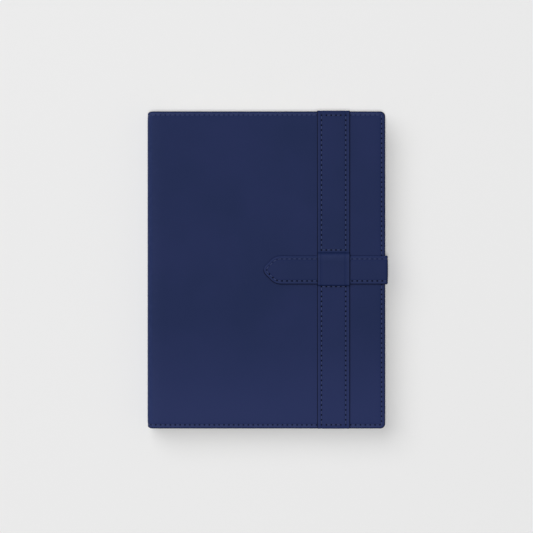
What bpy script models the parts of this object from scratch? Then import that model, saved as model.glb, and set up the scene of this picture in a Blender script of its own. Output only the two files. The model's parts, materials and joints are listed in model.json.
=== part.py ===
"""Pilot logbook in a strapped leather cover, closed and lying on its back cover.

The card-covered logbook is sewn from folded signatures. Its two card covers slip into the
sleeves of a leather cover, whose stiffened panels are joined by a flexible spine. A strap is
sewn into the back cover's fore edge, comes round to the front and tucks under a loop that the
band on the front cover forms.

The frame is metres, +X towards the fore edge, +Y towards the head, +Z up. The origin is the
middle of the back cover's underside. Every constant below is in millimetres unless it says
otherwise, and the helpers turn it into metres.
"""
import math

import bmesh
import bpy
from mathutils import Matrix, Vector

OBJECT_NAME = "pilot_logbook"
MM = 0.001

# Closed cover
COVER_WIDTH = 168.0
COVER_HEIGHT = 224.0
COVER_THICK = 22.0
HALF_WIDTH = COVER_WIDTH / 2
HALF_HEIGHT = COVER_HEIGHT / 2
MID_PLANE = COVER_THICK / 2
GAP = 0.1
ARC_STEPS = 6

# Leather trays of the two panels
LEATHER = 1.2
TRAY_DEPTH = 3.5
FORE_CORNER_RADIUS = 3.5
TRAY_WALL_START = -HALF_WIDTH + 3.6
CUT_MARGIN = 5.0

# Layers inside a panel, from the outside in
BOARD = 1.6
LINING = 0.5
CARD = 0.4
SLEEVE = 0.5
BOARD_LOW = LEATHER + GAP
LINING_LOW = BOARD_LOW + BOARD + GAP
CARD_LOW = LINING_LOW + LINING + GAP
SLEEVE_LOW = CARD_LOW + CARD + GAP
SLEEVE_TOP = SLEEVE_LOW + SLEEVE
LEAVES_LOW = SLEEVE_TOP + 0.2

BOARD_SPINE_X = -78.0
LINING_SPINE_X = -HALF_WIDTH + 3.5
LINER_FORE_X = HALF_WIDTH - LEATHER - 0.3
LINER_HALF = HALF_HEIGHT - LEATHER - 0.3
LINER_CORNER_RADIUS = 2.0
SLEEVE_SPINE_X = 12.0
SLEEVE_RIM = 1.4
CARD_SPINE_X = -79.0
CARD_FORE_X = 78.5
CARD_HALF = 107.5

# Text block
BLOCK_SPINE_X = -78.0
BLOCK_FORE_X = 77.0
BLOCK_HALF = 106.5
FLYLEAF = 0.2
SIGNATURES_A_SIDE = 6
FOLD_STEPS = 6

# Flexible spine, from the outside in
SPINE_LOW = LEATHER + GAP
SPINE_STIFFENER = 1.0
SPINE_STIFFENER_END = 2.0
SPINE_INNER_END = 1.0

# Strap: two layers back to back, sewn into the back cover's fore edge
STRAP_WIDTH = 20.3
STRAP_LAYER = 0.75
STRAP_THICK = 2 * STRAP_LAYER + GAP
STRAP_HALF = STRAP_WIDTH / 2
STRAP_SLOT_CLEARANCE = 0.2
ROOT_INNER_X = 60.0
ROOT_LOW = LEATHER + GAP
STRAP_FORE_X = HALF_WIDTH + 0.2
WRAP_LOW = ROOT_LOW + 0.4
WRAP_TOP = COVER_THICK - GAP
STRAP_LIFT = 0.2
TIP_X = -2.1
NOSE_RADIUS = 3.2
SHOULDER_RADIUS = 6.0

# Band of the front cover, with the loop that keeps the strap
BAND_CENTRE_X = 47.65
BAND_WIDTH = 22.8
BAND_THICK = 0.9
LOOP_UNDERSIDE = COVER_THICK + 2.1
LOOP_CREST_HEAD_Y = 10.8
LOOP_CREST_TAIL_Y = -10.3
LOOP_SEAM_HEAD_Y = 14.1
LOOP_SEAM_TAIL_Y = -11.6
BAND_LIP = 0.3
BAND_LIP_DROP = 3.4

# Joint axes
SPINE_AXIS_LOW = Vector((-HALF_WIDTH, 0, 0))
SPINE_AXIS_HIGH = Vector((-HALF_WIDTH, 0, COVER_THICK))
LEAF_AXIS = Vector((BLOCK_SPINE_X, 0, MID_PLANE))
STRAP_ROOT_AXIS = Vector((STRAP_FORE_X, 0, WRAP_LOW))
STRAP_FOLD_AXIS = Vector((STRAP_FORE_X, 0, COVER_THICK))

# Finishes: base colour, roughness
FINISHES = {
    "leather_navy": ((0.021, 0.028, 0.087), 0.45),
    "lining": ((0.027, 0.031, 0.052), 0.85),
    "board": ((0.30, 0.28, 0.25), 0.90),
    "card": ((0.035, 0.043, 0.075), 0.60),
    "paper": ((0.82, 0.78, 0.68), 0.90),
}


# ---------------------------------------------------------------- scene, finishes, bodies

def clear_scene():
    """Remove whatever objects the file opened with."""
    for old in list(bpy.data.objects):
        bpy.data.objects.remove(old, do_unlink=True)


def new_collection(name):
    """Return a collection linked under the scene."""
    made = bpy.data.collections.new(name)
    bpy.context.scene.collection.children.link(made)
    return made


def finish(obj, finish_name):
    """Give an object its own Principled material with a named finish."""
    colour, roughness = FINISHES[finish_name]
    material = bpy.data.materials.new(f"{obj.name}_{finish_name}")
    material.use_nodes = True
    shader = material.node_tree.nodes["Principled BSDF"]
    shader.inputs["Base Color"].default_value = (*colour, 1)
    shader.inputs["Roughness"].default_value = roughness
    shader.inputs["Metallic"].default_value = 0
    material.diffuse_color = (*colour, 1)
    obj.data.materials.clear()
    obj.data.materials.append(material)


def joint_empty(name, axis_point, parent=None):
    """Return an empty on a joint's axis, the parent of what turns about it."""
    empty = bpy.data.objects.new(name, None)
    empty.empty_display_size = 0.01
    guides.objects.link(empty)
    empty.location = axis_point * MM
    if parent is not None:
        bpy.context.view_layer.update()
        empty.parent = parent
        empty.matrix_parent_inverse = parent.matrix_world.inverted()
    return empty


def hang(obj, body_empty):
    """Parent an object to its body's empty without moving it."""
    bpy.context.view_layer.update()
    obj.parent = body_empty
    obj.matrix_parent_inverse = body_empty.matrix_world.inverted()


# ---------------------------------------------------------------- outlines

def arc(centre, radius, start_deg, end_deg, steps=ARC_STEPS):
    """Return the points of an arc, both ends included."""
    points = []
    for step in range(steps + 1):
        angle = math.radians(start_deg + (end_deg - start_deg) * step / steps)
        points.append((centre[0] + radius * math.cos(angle), centre[1] + radius * math.sin(angle)))
    return points


def panel_outline(spine_x, fore_x, half, radius):
    """Return a plan outline whose two fore-edge corners are round."""
    corner = fore_x - radius
    tail = arc((corner, radius - half), radius, -90, 0)
    head = arc((corner, half - radius), radius, 0, 90)
    return [(spine_x, -half), *tail, *head, (spine_x, half)]


def tip_outline():
    """Return the strap's plan: a blunt nose, 45 degree flanks and rounded shoulders."""
    flank_end_x = TIP_X + STRAP_HALF - NOSE_RADIUS * math.tan(math.radians(22.5))
    shoulder_x = flank_end_x + SHOULDER_RADIUS * math.tan(math.radians(22.5))
    shoulder_y = STRAP_HALF - SHOULDER_RADIUS
    far_x = HALF_WIDTH + CUT_MARGIN
    head = arc((shoulder_x, shoulder_y), SHOULDER_RADIUS, 90, 135)
    nose = arc((TIP_X + NOSE_RADIUS, 0), NOSE_RADIUS, 135, 225)
    tail = arc((shoulder_x, -shoulder_y), SHOULDER_RADIUS, 225, 270)
    return [(far_x, STRAP_HALF), *head, *nose, *tail, (far_x, -STRAP_HALF)]


def signature_outline(low, high):
    """Return the end view of a folded signature, round at the fold."""
    radius = (high - low) / 2
    fold = arc((BLOCK_SPINE_X + radius, low + radius), radius, 90, 270, FOLD_STEPS)
    return [(BLOCK_FORE_X, high), *fold, (BLOCK_FORE_X, low)]


def strap_fold_outline(inner, outer):
    """Return a strap layer's side view: up the fore edge, round the corner and over the cover.

    inner and outer are the layer's distances from the corner of the cover.
    """
    corner = (HALF_WIDTH, COVER_THICK)
    outside = arc(corner, outer, 0, 90)
    inside = arc(corner, inner, 90, 0)
    tip = TIP_X - CUT_MARGIN
    return [*outside, (tip, COVER_THICK + outer), (tip, COVER_THICK + inner), *inside]


def band_outline():
    """Return the band's side view: a lip over each edge, flat ends, the loop between its seams.

    The outline is the underside path followed by the same path raised by the band's thickness.
    """
    flat = COVER_THICK + GAP
    edge = HALF_HEIGHT + GAP / 2
    under = [
        (-edge, flat),
        (LOOP_SEAM_TAIL_Y, flat),
        (LOOP_CREST_TAIL_Y, LOOP_UNDERSIDE),
        (LOOP_CREST_HEAD_Y, LOOP_UNDERSIDE),
        (LOOP_SEAM_HEAD_Y, flat),
        (edge, flat),
    ]
    over = [(y, z + BAND_THICK) for y, z in reversed(under[1:-1])]
    lip_low = COVER_THICK - BAND_LIP_DROP
    head = [
        (edge, lip_low),
        (edge + BAND_LIP, lip_low),
        *arc((edge + BAND_LIP - BAND_THICK, flat), BAND_THICK, 0, 90),
    ]
    tail = [
        *arc((BAND_THICK - edge - BAND_LIP, flat), BAND_THICK, 90, 180),
        (-edge - BAND_LIP, lip_low),
        (-edge, lip_low),
    ]
    return [*under, *head, *over, *tail]


# ---------------------------------------------------------------- solids

def prism(name, outline, low, high, plane="XY", collection=None):
    """Return a mesh made from a flat outline, extruded from low to high.

    In plane XY the outline is a plan and low and high are heights, in plane XZ it is seen
    from the tail with low and high along Y, and in plane YZ it is seen from the fore edge
    with low and high along X.
    """
    curve = bpy.data.curves.new(name, "CURVE")
    curve.dimensions = "2D"
    curve.fill_mode = "BOTH"
    curve.extrude = (high - low) / 2 * MM
    spline = curve.splines.new("POLY")
    spline.points.add(len(outline) - 1)
    for point, (u, v) in zip(spline.points, outline):
        point.co = (u * MM, v * MM, 0, 1)
    spline.use_cyclic_u = True
    flat = bpy.data.objects.new(f"{name}_outline", curve)
    middle = (low + high) / 2 * MM
    turns = {
        "XY": Matrix.Translation((0, 0, middle)),
        "XZ": Matrix.Translation((0, middle, 0)) @ Matrix.Rotation(math.pi / 2, 4, "X"),
        "YZ": Matrix.Translation((middle, 0, 0)) @ Matrix(((0, 0, 1, 0), (1, 0, 0, 0), (0, 1, 0, 0), (0, 0, 0, 1))),
    }
    flat.matrix_world = turns[plane]
    return curve_to_mesh(flat, name, collection or parts)


def curve_to_mesh(curve_object, name, collection):
    """Turn an extruded outline into a closed mesh object, and remove the outline."""
    bpy.context.scene.collection.objects.link(curve_object)
    bpy.context.view_layer.update()
    evaluated = curve_object.evaluated_get(bpy.context.evaluated_depsgraph_get())
    mesh = bpy.data.meshes.new_from_object(evaluated)
    shape = bmesh.new()
    shape.from_mesh(mesh)
    bmesh.ops.remove_doubles(shape, verts=shape.verts, dist=1e-6)
    bmesh.ops.recalc_face_normals(shape, faces=shape.faces)
    shape.to_mesh(mesh)
    shape.free()
    solid = bpy.data.objects.new(name, mesh)
    solid.matrix_world = curve_object.matrix_world.copy()
    collection.objects.link(solid)
    bpy.data.objects.remove(curve_object, do_unlink=True)
    return solid


def box(name, low, high, collection=None):
    """Return an axis-aligned box between two corners."""
    size = Vector(high) - Vector(low)
    middle = (Vector(high) + Vector(low)) / 2
    shape = bmesh.new()
    bmesh.ops.create_cube(shape, size=1, matrix=Matrix.Diagonal((*(size * MM), 1)))
    mesh = bpy.data.meshes.new(name)
    shape.to_mesh(mesh)
    shape.free()
    solid = bpy.data.objects.new(name, mesh)
    solid.location = middle * MM
    (collection or parts).objects.link(solid)
    return solid


def cut(obj, cutter, operation="DIFFERENCE"):
    """Add an exact Boolean to an object and hide its cutter."""
    cutter.hide_render = True
    cutter.display_type = "WIRE"
    modifier = obj.modifiers.new(cutter.name, "BOOLEAN")
    modifier.operation = operation
    modifier.solver = "EXACT"
    modifier.object = cutter


def heights(low, high, front):
    """Return a layer's heights, mirrored about the middle of the book for the front cover."""
    if front:
        return COVER_THICK - high, COVER_THICK - low
    return low, high


# ---------------------------------------------------------------- sub-assemblies

def leather_tray(name, front):
    """Make a panel's outer leather, turned in over the head, tail and fore edge."""
    low, high = heights(0, TRAY_DEPTH, front)
    outside = panel_outline(-HALF_WIDTH, HALF_WIDTH, HALF_HEIGHT, FORE_CORNER_RADIUS)
    tray = prism(name, outside, low, high)
    wall = LEATHER
    inside = panel_outline(
        -HALF_WIDTH - CUT_MARGIN, HALF_WIDTH - wall, HALF_HEIGHT - wall, FORE_CORNER_RADIUS - wall
    )
    pocket_low, pocket_high = heights(LEATHER, TRAY_DEPTH + CUT_MARGIN, front)
    cut(tray, prism(f"{name}_pocket", inside, pocket_low, pocket_high, collection=cutters))
    spine_end = box(
        f"{name}_spine_end",
        (-HALF_WIDTH - CUT_MARGIN, -HALF_HEIGHT - CUT_MARGIN, pocket_low),
        (TRAY_WALL_START, HALF_HEIGHT + CUT_MARGIN, pocket_high),
        cutters,
    )
    cut(tray, spine_end)
    finish(tray, "leather_navy")
    return tray


def cut_strap_slot(tray):
    """Open the slot in the back tray's fore edge that the strap's root comes out of."""
    half = STRAP_HALF + STRAP_SLOT_CLEARANCE
    slot = box(
        "strap_slot",
        (HALF_WIDTH - LEATHER - 1, -half, LEATHER),
        (HALF_WIDTH + CUT_MARGIN, half, ROOT_LOW + STRAP_THICK + GAP),
        cutters,
    )
    cut(tray, slot)


def panel_layers(side, front):
    """Make a panel's board, lining, sleeve and the logbook's card cover inside it."""
    board = prism(
        f"{side}_board",
        panel_outline(BOARD_SPINE_X, LINER_FORE_X, LINER_HALF, LINER_CORNER_RADIUS),
        *heights(BOARD_LOW, BOARD_LOW + BOARD, front),
    )
    finish(board, "board")
    lining = prism(
        f"{side}_lining",
        panel_outline(LINING_SPINE_X, LINER_FORE_X, LINER_HALF, LINER_CORNER_RADIUS),
        *heights(LINING_LOW, LINING_LOW + LINING, front),
    )
    finish(lining, "lining")
    card = box(
        f"{side}_card",
        (CARD_SPINE_X, -CARD_HALF, heights(CARD_LOW, CARD_LOW + CARD, front)[0]),
        (CARD_FORE_X, CARD_HALF, heights(CARD_LOW, CARD_LOW + CARD, front)[1]),
    )
    finish(card, "card")
    return [board, lining, card, sleeve_pocket(side, front)]


def sleeve_pocket(side, front):
    """Make the sleeve that holds a card cover: open towards the spine, sewn on its other edges."""
    outside = panel_outline(SLEEVE_SPINE_X, LINER_FORE_X, LINER_HALF, LINER_CORNER_RADIUS)
    pocket = panel_outline(
        SLEEVE_SPINE_X - CUT_MARGIN,
        LINER_FORE_X - SLEEVE_RIM,
        LINER_HALF - SLEEVE_RIM,
        LINER_CORNER_RADIUS / 2,
    )
    sleeve = prism(f"{side}_sleeve", outside, *heights(CARD_LOW, SLEEVE_TOP, front))
    hollow = prism(
        f"{side}_sleeve_hollow",
        pocket,
        *heights(CARD_LOW - CUT_MARGIN, SLEEVE_LOW, front),
        collection=cutters,
    )
    cut(sleeve, hollow)
    finish(sleeve, "lining")
    return sleeve


def notch_board_for_root(board):
    """Open the back board's fore edge so that the strap's root lies level with it."""
    half = STRAP_HALF + 2 * STRAP_SLOT_CLEARANCE
    notch = box(
        "strap_root_notch",
        (ROOT_INNER_X - 0.5, -half, LEATHER - 1),
        (HALF_WIDTH + CUT_MARGIN, half, LINING_LOW),
        cutters,
    )
    cut(board, notch)


def spine_layers():
    """Make the flexible spine: leather, stiffener, lining and the logbook's card spine."""
    made = []
    x = -HALF_WIDTH
    for name, thick, end, half, finish_name in (
        ("spine_leather", LEATHER, SPINE_LOW, HALF_HEIGHT, "leather_navy"),
        ("spine_stiffener", SPINE_STIFFENER, SPINE_LOW + SPINE_STIFFENER_END, LINER_HALF, "board"),
        ("spine_lining", LINING, SPINE_LOW + SPINE_INNER_END, LINER_HALF, "lining"),
        ("spine_card", CARD, SPINE_LOW + SPINE_INNER_END, CARD_HALF, "card"),
    ):
        layer = box(name, (x, -half, end), (x + thick, half, COVER_THICK - end))
        finish(layer, finish_name)
        made.append(layer)
        x += thick + GAP
    return made


def leaf_stack(front):
    """Make one half of the text block: a flyleaf and the signatures up to the middle opening."""
    side = "front" if front else "rear"
    first = 1 if front else SIGNATURES_A_SIDE + 1
    flyleaf_low, flyleaf_high = heights(LEAVES_LOW, LEAVES_LOW + FLYLEAF, front)
    flyleaf = box(
        f"{side}_flyleaf",
        (BLOCK_SPINE_X, -BLOCK_HALF, flyleaf_low),
        (BLOCK_FORE_X, BLOCK_HALF, flyleaf_high),
    )
    made = [flyleaf]
    stack_low = LEAVES_LOW + FLYLEAF + GAP
    stack_high = MID_PLANE - GAP / 2
    pitch = (stack_high + GAP - stack_low) / SIGNATURES_A_SIDE
    for index in range(SIGNATURES_A_SIDE):
        depth = index if front else SIGNATURES_A_SIDE - 1 - index
        low = stack_low + depth * pitch
        low, high = heights(low, low + pitch - GAP, front)
        outline = signature_outline(low, high)
        made.append(prism(f"signature_{first + index:02d}", outline, -BLOCK_HALF, BLOCK_HALF, "XZ"))
    for leaf in made:
        finish(leaf, "paper")
    return made


def strap_layer_names(zone):
    """Return the names of a strap zone's backing and face layers, from the inside out."""
    return f"strap_{zone}_backing", f"strap_{zone}_face"


def strap_root():
    """Make the strap's end that is sewn between the back board's notch and the lining."""
    backing, face = strap_layer_names("root")
    made = []
    low = ROOT_LOW
    for name in (face, backing):
        made.append(
            box(
                name,
                (ROOT_INNER_X, -STRAP_HALF, low),
                (STRAP_FORE_X - GAP, STRAP_HALF, low + STRAP_LAYER),
            )
        )
        low += STRAP_LAYER + GAP
    return made


def strap_wrap():
    """Make the stretch of strap that stands along the fore edge."""
    made = []
    x = STRAP_FORE_X
    for name in strap_layer_names("wrap"):
        made.append(box(name, (x, -STRAP_HALF, WRAP_LOW), (x + STRAP_LAYER, STRAP_HALF, WRAP_TOP)))
        x += STRAP_LAYER + GAP
    return made


def strap_tongue():
    """Make the stretch of strap that folds over the front cover and ends in the tip."""
    made = []
    inner = STRAP_LIFT
    for name in strap_layer_names("tongue"):
        outline = strap_fold_outline(inner, inner + STRAP_LAYER)
        layer = prism(name, outline, -STRAP_HALF, STRAP_HALF, "XZ")
        plan = prism(
            f"{name}_plan",
            tip_outline(),
            COVER_THICK - CUT_MARGIN,
            COVER_THICK + CUT_MARGIN,
            collection=cutters,
        )
        cut(layer, plan, "INTERSECT")
        made.append(layer)
        inner += STRAP_LAYER + GAP
    return made


def keeper_band():
    """Make the band that runs from head to tail, raised into a loop over the strap."""
    half = BAND_WIDTH / 2
    band = prism("keeper_band", band_outline(), BAND_CENTRE_X - half, BAND_CENTRE_X + half, "YZ")
    finish(band, "leather_navy")
    return band


# ---------------------------------------------------------------- assembly

def build_logbook():
    """Make every sub-part and hang it on the empty of the body that it moves with."""
    back = leather_tray("back_leather", front=False)
    cut_strap_slot(back)
    back_layers = panel_layers("back", front=False)
    notch_board_for_root(back_layers[0])
    front = leather_tray("front_leather", front=True)
    strap_parts = {"root": strap_root(), "wrap": strap_wrap(), "tongue": strap_tongue()}
    for layers in strap_parts.values():
        for layer in layers:
            finish(layer, "leather_navy")

    back_body = joint_empty("back_cover_body", Vector((0, 0, 0)))
    spine_body = joint_empty("spine_hinge", SPINE_AXIS_LOW, back_body)
    front_body = joint_empty("front_hinge", SPINE_AXIS_HIGH, spine_body)
    leaves_body = joint_empty("leaf_hinge", LEAF_AXIS, back_body)
    wrap_body = joint_empty("strap_root_bend", STRAP_ROOT_AXIS, back_body)
    tongue_body = joint_empty("strap_fold", STRAP_FOLD_AXIS, wrap_body)

    bodies = {
        back_body: [back, *back_layers, *strap_parts["root"], *leaf_stack(front=False)],
        spine_body: spine_layers(),
        front_body: [front, *panel_layers("front", front=True), keeper_band()],
        leaves_body: leaf_stack(front=True),
        wrap_body: strap_parts["wrap"],
        tongue_body: strap_parts["tongue"],
    }
    for body, members in bodies.items():
        for member in members:
            hang(member, body)


clear_scene()
parts = new_collection(OBJECT_NAME)
cutters = new_collection("cutters")
guides = new_collection("joint_axes")
build_logbook()
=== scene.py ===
"""Looks of a pilot logbook in a strapped calf leather cover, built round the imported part.

Lengths in this file are millimetres, except where a call to Blender needs metres. +X points to
the fore edge, +Y to the head and +Z up out of the closed front cover. A flat sheet of leather,
lining or card is made in its own plan, as (along, across, depth below its outer face), and is
then laid on a route that gives the sheet its place in the closed book.
"""

import json
import logging
import math
from collections.abc import Sequence
from dataclasses import dataclass, field
from enum import Enum

import bmesh
import bpy
import numpy as np
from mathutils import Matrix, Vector

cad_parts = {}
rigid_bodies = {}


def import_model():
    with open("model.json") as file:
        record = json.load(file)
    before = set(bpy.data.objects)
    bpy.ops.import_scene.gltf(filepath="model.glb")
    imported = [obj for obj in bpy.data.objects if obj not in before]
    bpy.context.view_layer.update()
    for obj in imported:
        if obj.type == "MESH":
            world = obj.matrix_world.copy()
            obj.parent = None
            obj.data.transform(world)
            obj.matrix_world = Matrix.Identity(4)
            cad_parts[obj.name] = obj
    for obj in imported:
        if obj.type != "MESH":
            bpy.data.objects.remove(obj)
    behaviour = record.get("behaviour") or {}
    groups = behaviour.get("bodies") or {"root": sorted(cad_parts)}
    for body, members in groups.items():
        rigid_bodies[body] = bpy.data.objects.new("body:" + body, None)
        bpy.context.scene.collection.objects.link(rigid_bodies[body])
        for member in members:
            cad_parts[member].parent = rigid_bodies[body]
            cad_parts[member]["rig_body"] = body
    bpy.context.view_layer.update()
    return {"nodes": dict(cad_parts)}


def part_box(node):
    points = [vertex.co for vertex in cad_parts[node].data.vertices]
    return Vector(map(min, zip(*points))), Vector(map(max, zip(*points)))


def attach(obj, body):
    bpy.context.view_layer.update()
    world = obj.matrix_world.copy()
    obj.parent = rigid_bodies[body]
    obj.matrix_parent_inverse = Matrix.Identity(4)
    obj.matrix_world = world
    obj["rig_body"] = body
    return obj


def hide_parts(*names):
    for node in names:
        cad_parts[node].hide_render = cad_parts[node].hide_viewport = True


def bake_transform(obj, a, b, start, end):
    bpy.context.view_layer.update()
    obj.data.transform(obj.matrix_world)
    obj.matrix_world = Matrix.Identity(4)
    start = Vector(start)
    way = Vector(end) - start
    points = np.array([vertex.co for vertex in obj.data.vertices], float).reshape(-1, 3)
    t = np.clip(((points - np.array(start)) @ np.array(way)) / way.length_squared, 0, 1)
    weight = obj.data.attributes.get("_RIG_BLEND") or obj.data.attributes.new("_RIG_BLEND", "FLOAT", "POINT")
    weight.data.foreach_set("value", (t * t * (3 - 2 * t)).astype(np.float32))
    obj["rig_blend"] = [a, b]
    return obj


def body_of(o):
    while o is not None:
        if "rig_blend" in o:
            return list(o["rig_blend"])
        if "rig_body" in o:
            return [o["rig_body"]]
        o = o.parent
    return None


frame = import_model()

LOG = logging.getLogger("pilot_logbook")
MM = 0.001
STITCH_PITCH = 3.5
ALIGN = "FunctionNodeAlignRotationToVector"
ATTRIBUTE = "ShaderNodeAttribute"
BUMP = "ShaderNodeBump"
COMBINE = "ShaderNodeCombineXYZ"
MAP_RANGE = "ShaderNodeMapRange"
MATH = "ShaderNodeMath"
MIX = "ShaderNodeMix"
NAMED = "GeometryNodeInputNamedAttribute"
NOISE = "ShaderNodeTexNoise"
SEPARATE = "ShaderNodeSeparateXYZ"
COLOURS = {"data_type": "RGBA"}
SMOOTHED = {"interpolation_type": "SMOOTHSTEP"}
LUMPY = {"Roughness": 0.55}


class Body(str, Enum):
    """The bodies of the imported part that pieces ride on."""

    BACK = "back_cover"
    SPINE = "spine"
    FRONT = "front_cover"
    WRAP = "strap_wrap"
    TONGUE = "strap_tongue"


class Slot(str, Enum):
    """The record's material slots."""

    LEATHER = "leather_navy"
    LINING = "lining"
    CARD = "card"
    PAPER = "paper"


class Side(Enum):
    """Which half of the book a sheet belongs to."""

    BACK = "back"
    FRONT = "front"


# ---------------------------------------------------------------- nodes and finishes

def linear(hex_colour: str) -> tuple[float, float, float, float]:
    """Turn an sRGB hex colour into a linear one.

    Args:
        hex_colour: Colour such as "#2A3358".

    Returns:
        Linear red, green and blue, and an alpha of 1.
    """
    channels = [int(hex_colour[i : i + 2], 16) / 255 for i in (1, 3, 5)]
    turned = [c / 12.92 if c <= 0.04045 else ((c + 0.055) / 1.055) ** 2.4 for c in channels]
    return (*turned, 1.0)


def per_metre(size_mm: float) -> float:
    """Return how often a pattern of a size repeats in a metre, which is a texture's scale."""
    return 1 / (size_mm * MM)


def add_node(
    tree: bpy.types.NodeTree,
    kind: str,
    settings: dict[str, object] | None = None,
    inputs: dict[str | int, object] | None = None,
) -> bpy.types.Node:
    """Add a node with its settings, values and links.

    Args:
        tree: Shader or geometry tree.
        kind: The node's Blender type.
        settings: Properties of the node.
        inputs: Input name or number to a value, a hex colour, the socket that feeds it, or the
            node whose first output feeds it.

    Returns:
        The new node.
    """
    node = tree.nodes.new(kind)
    for name, value in (settings or {}).items():
        setattr(node, name, value)
    for name, value in (inputs or {}).items():
        if isinstance(value, bpy.types.Node):
            tree.links.new(value.outputs[0], node.inputs[name])
        elif isinstance(value, bpy.types.NodeSocket):
            tree.links.new(value, node.inputs[name])
        elif isinstance(value, str) and value.startswith("#"):
            node.inputs[name].default_value = linear(value)
        else:
            node.inputs[name].default_value = value
    return node


def new_material(
    name: str, constants: dict[str, float]
) -> tuple[bpy.types.Material, bpy.types.NodeTree, bpy.types.Node]:
    """Start a finish.

    Args:
        name: The finish's name.
        constants: What is the same all over the surface, set on the shader's own sockets.

    Returns:
        The material, its tree and its Principled shader.
    """
    material = bpy.data.materials.new(name)
    material.use_nodes = True
    tree = material.node_tree
    shader = tree.nodes["Principled BSDF"]
    for socket, value in constants.items():
        shader.inputs[socket].default_value = value
    return material, tree, shader


@dataclass(frozen=True)
class DyedCalf:
    """Smooth calf leather, drum dyed navy and lightly plated.

    The eye sees an even, almost matt navy with a fine grain that only shows in raking light. The
    colour is painted a touch paler towards the tail, standing in for the fall of the light across the
    cover. Edges where the leather rounds over, and the loop's crest, get a paler colour that is partly
    wear and partly a painted highlight where light catches the curve. Cut edges carry dark edge paint,
    and the same dark colour is painted along the turned edges and the strap's tail side as shade. Real
    pores are finer than the pore size here, which is as coarse as they need to be to show.
    """

    name: str = "dyed_smooth_calf"
    base: str = "#19254F"
    deep: str = "#17244B"
    # Painted light: this paler navy is laid towards the tail, standing in for the fall of the light across
    # the cover.
    tail: str = "#202B56"
    # Paler navy: partly wear, partly a painted highlight where light catches rounded edges.
    worn_and_lit: str = "#343F69"
    # Dark edge colour: real edge paint on cut edges, and painted shade where it is laid on turned edges and
    # the strap's tail side.
    dark_edge_colour: str = "#0B0D1E"
    tail_light_fade_mm: tuple[float, float] = (-30.0, -112.0)
    cloud_mm: float = 60.0
    rub_mm: float = 4.0
    wave_mm: float = 9.0
    grain_mm: float = 0.55
    pore_mm: float = 0.14

    def material(self) -> bpy.types.Material:
        """Make the finish.

        Returns:
            The node material, which reads the sheet's own coordinates.
        """
        material, tree, shader = new_material(self.name, {"IOR": 1.48, "Specular IOR Level": 0.11})
        place = add_node(tree, ATTRIBUTE, {"attribute_name": "sheet_place"}).outputs["Vector"]
        wear_and_highlight = add_node(tree, ATTRIBUTE, {"attribute_name": "edge_wear_and_highlight"}).outputs["Fac"]
        paint = add_node(tree, ATTRIBUTE, {"attribute_name": "edge_paint_and_shade"}).outputs["Fac"]
        book = add_node(tree, "ShaderNodeTexCoord").outputs["Object"]
        height = add_node(tree, SEPARATE, {}, {0: book}).outputs["Y"]
        lumps = ((self.cloud_mm, 3.0), (self.rub_mm, 4.0), (self.wave_mm, 2.0), (self.pore_mm, 1.0))
        cloud, rub_and_highlight, waves, pores = [
            add_node(tree, NOISE, {}, {"Vector": place, "Scale": per_metre(size), "Detail": fine, **LUMPY})
            for size, fine in lumps
        ]
        cells = add_node(
            tree,
            "ShaderNodeTexVoronoi",
            {"feature": "SMOOTH_F1"},
            {"Vector": place, "Scale": per_metre(self.grain_mm), "Smoothness": 0.6},
        )
        # Painted light: the colour turns paler towards the tail, for the fall of the light.
        first, last = (value * MM for value in self.tail_light_fade_mm)
        mottled, painted_tail_light, rub_and_highlight_share, dull = [
            add_node(
                tree,
                MAP_RANGE,
                SMOOTHED,
                {"Value": value, "From Min": low, "From Max": high, "To Min": start, "To Max": end},
            )
            for value, low, high, start, end in (
                (cloud, 0.3, 0.7, 0.0, 1.0),
                (height, first, last, 0.0, 1.0),
                (rub_and_highlight, 0.35, 0.75, 0.45, 0.75),
                (cloud, 0.2, 0.8, 0.6, 0.64),
            )
        ]
        # Paler colour on rounded edges and the loop's crest: partly wear, partly a painted highlight.
        worn_and_lit = add_node(tree, MATH, {"operation": "MULTIPLY"}, {0: wear_and_highlight, 1: rub_and_highlight_share})
        layers = (
            (mottled, self.deep),
            (painted_tail_light, self.tail),
            (worn_and_lit, self.worn_and_lit),
            (paint, self.dark_edge_colour),
        )
        colour: bpy.types.NodeSocket | str = self.base
        for share, over in layers:
            colour = add_node(tree, MIX, COLOURS, {0: share, 6: colour, 7: over}).outputs[2]
        relief = ((waves, 0.015), (cells, 0.022), (pores, 0.008))
        under: dict[str | int, object] = {}
        for rise, rise_mm in relief:
            normal = add_node(tree, BUMP, {}, {"Height": rise, "Distance": rise_mm * MM, **under})
            under = {"Normal": normal}
        tree.links.new(normal.outputs[0], shader.inputs["Normal"])
        tree.links.new(dull.outputs[0], shader.inputs["Roughness"])
        tree.links.new(colour, shader.inputs["Base Color"])
        return material


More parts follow.
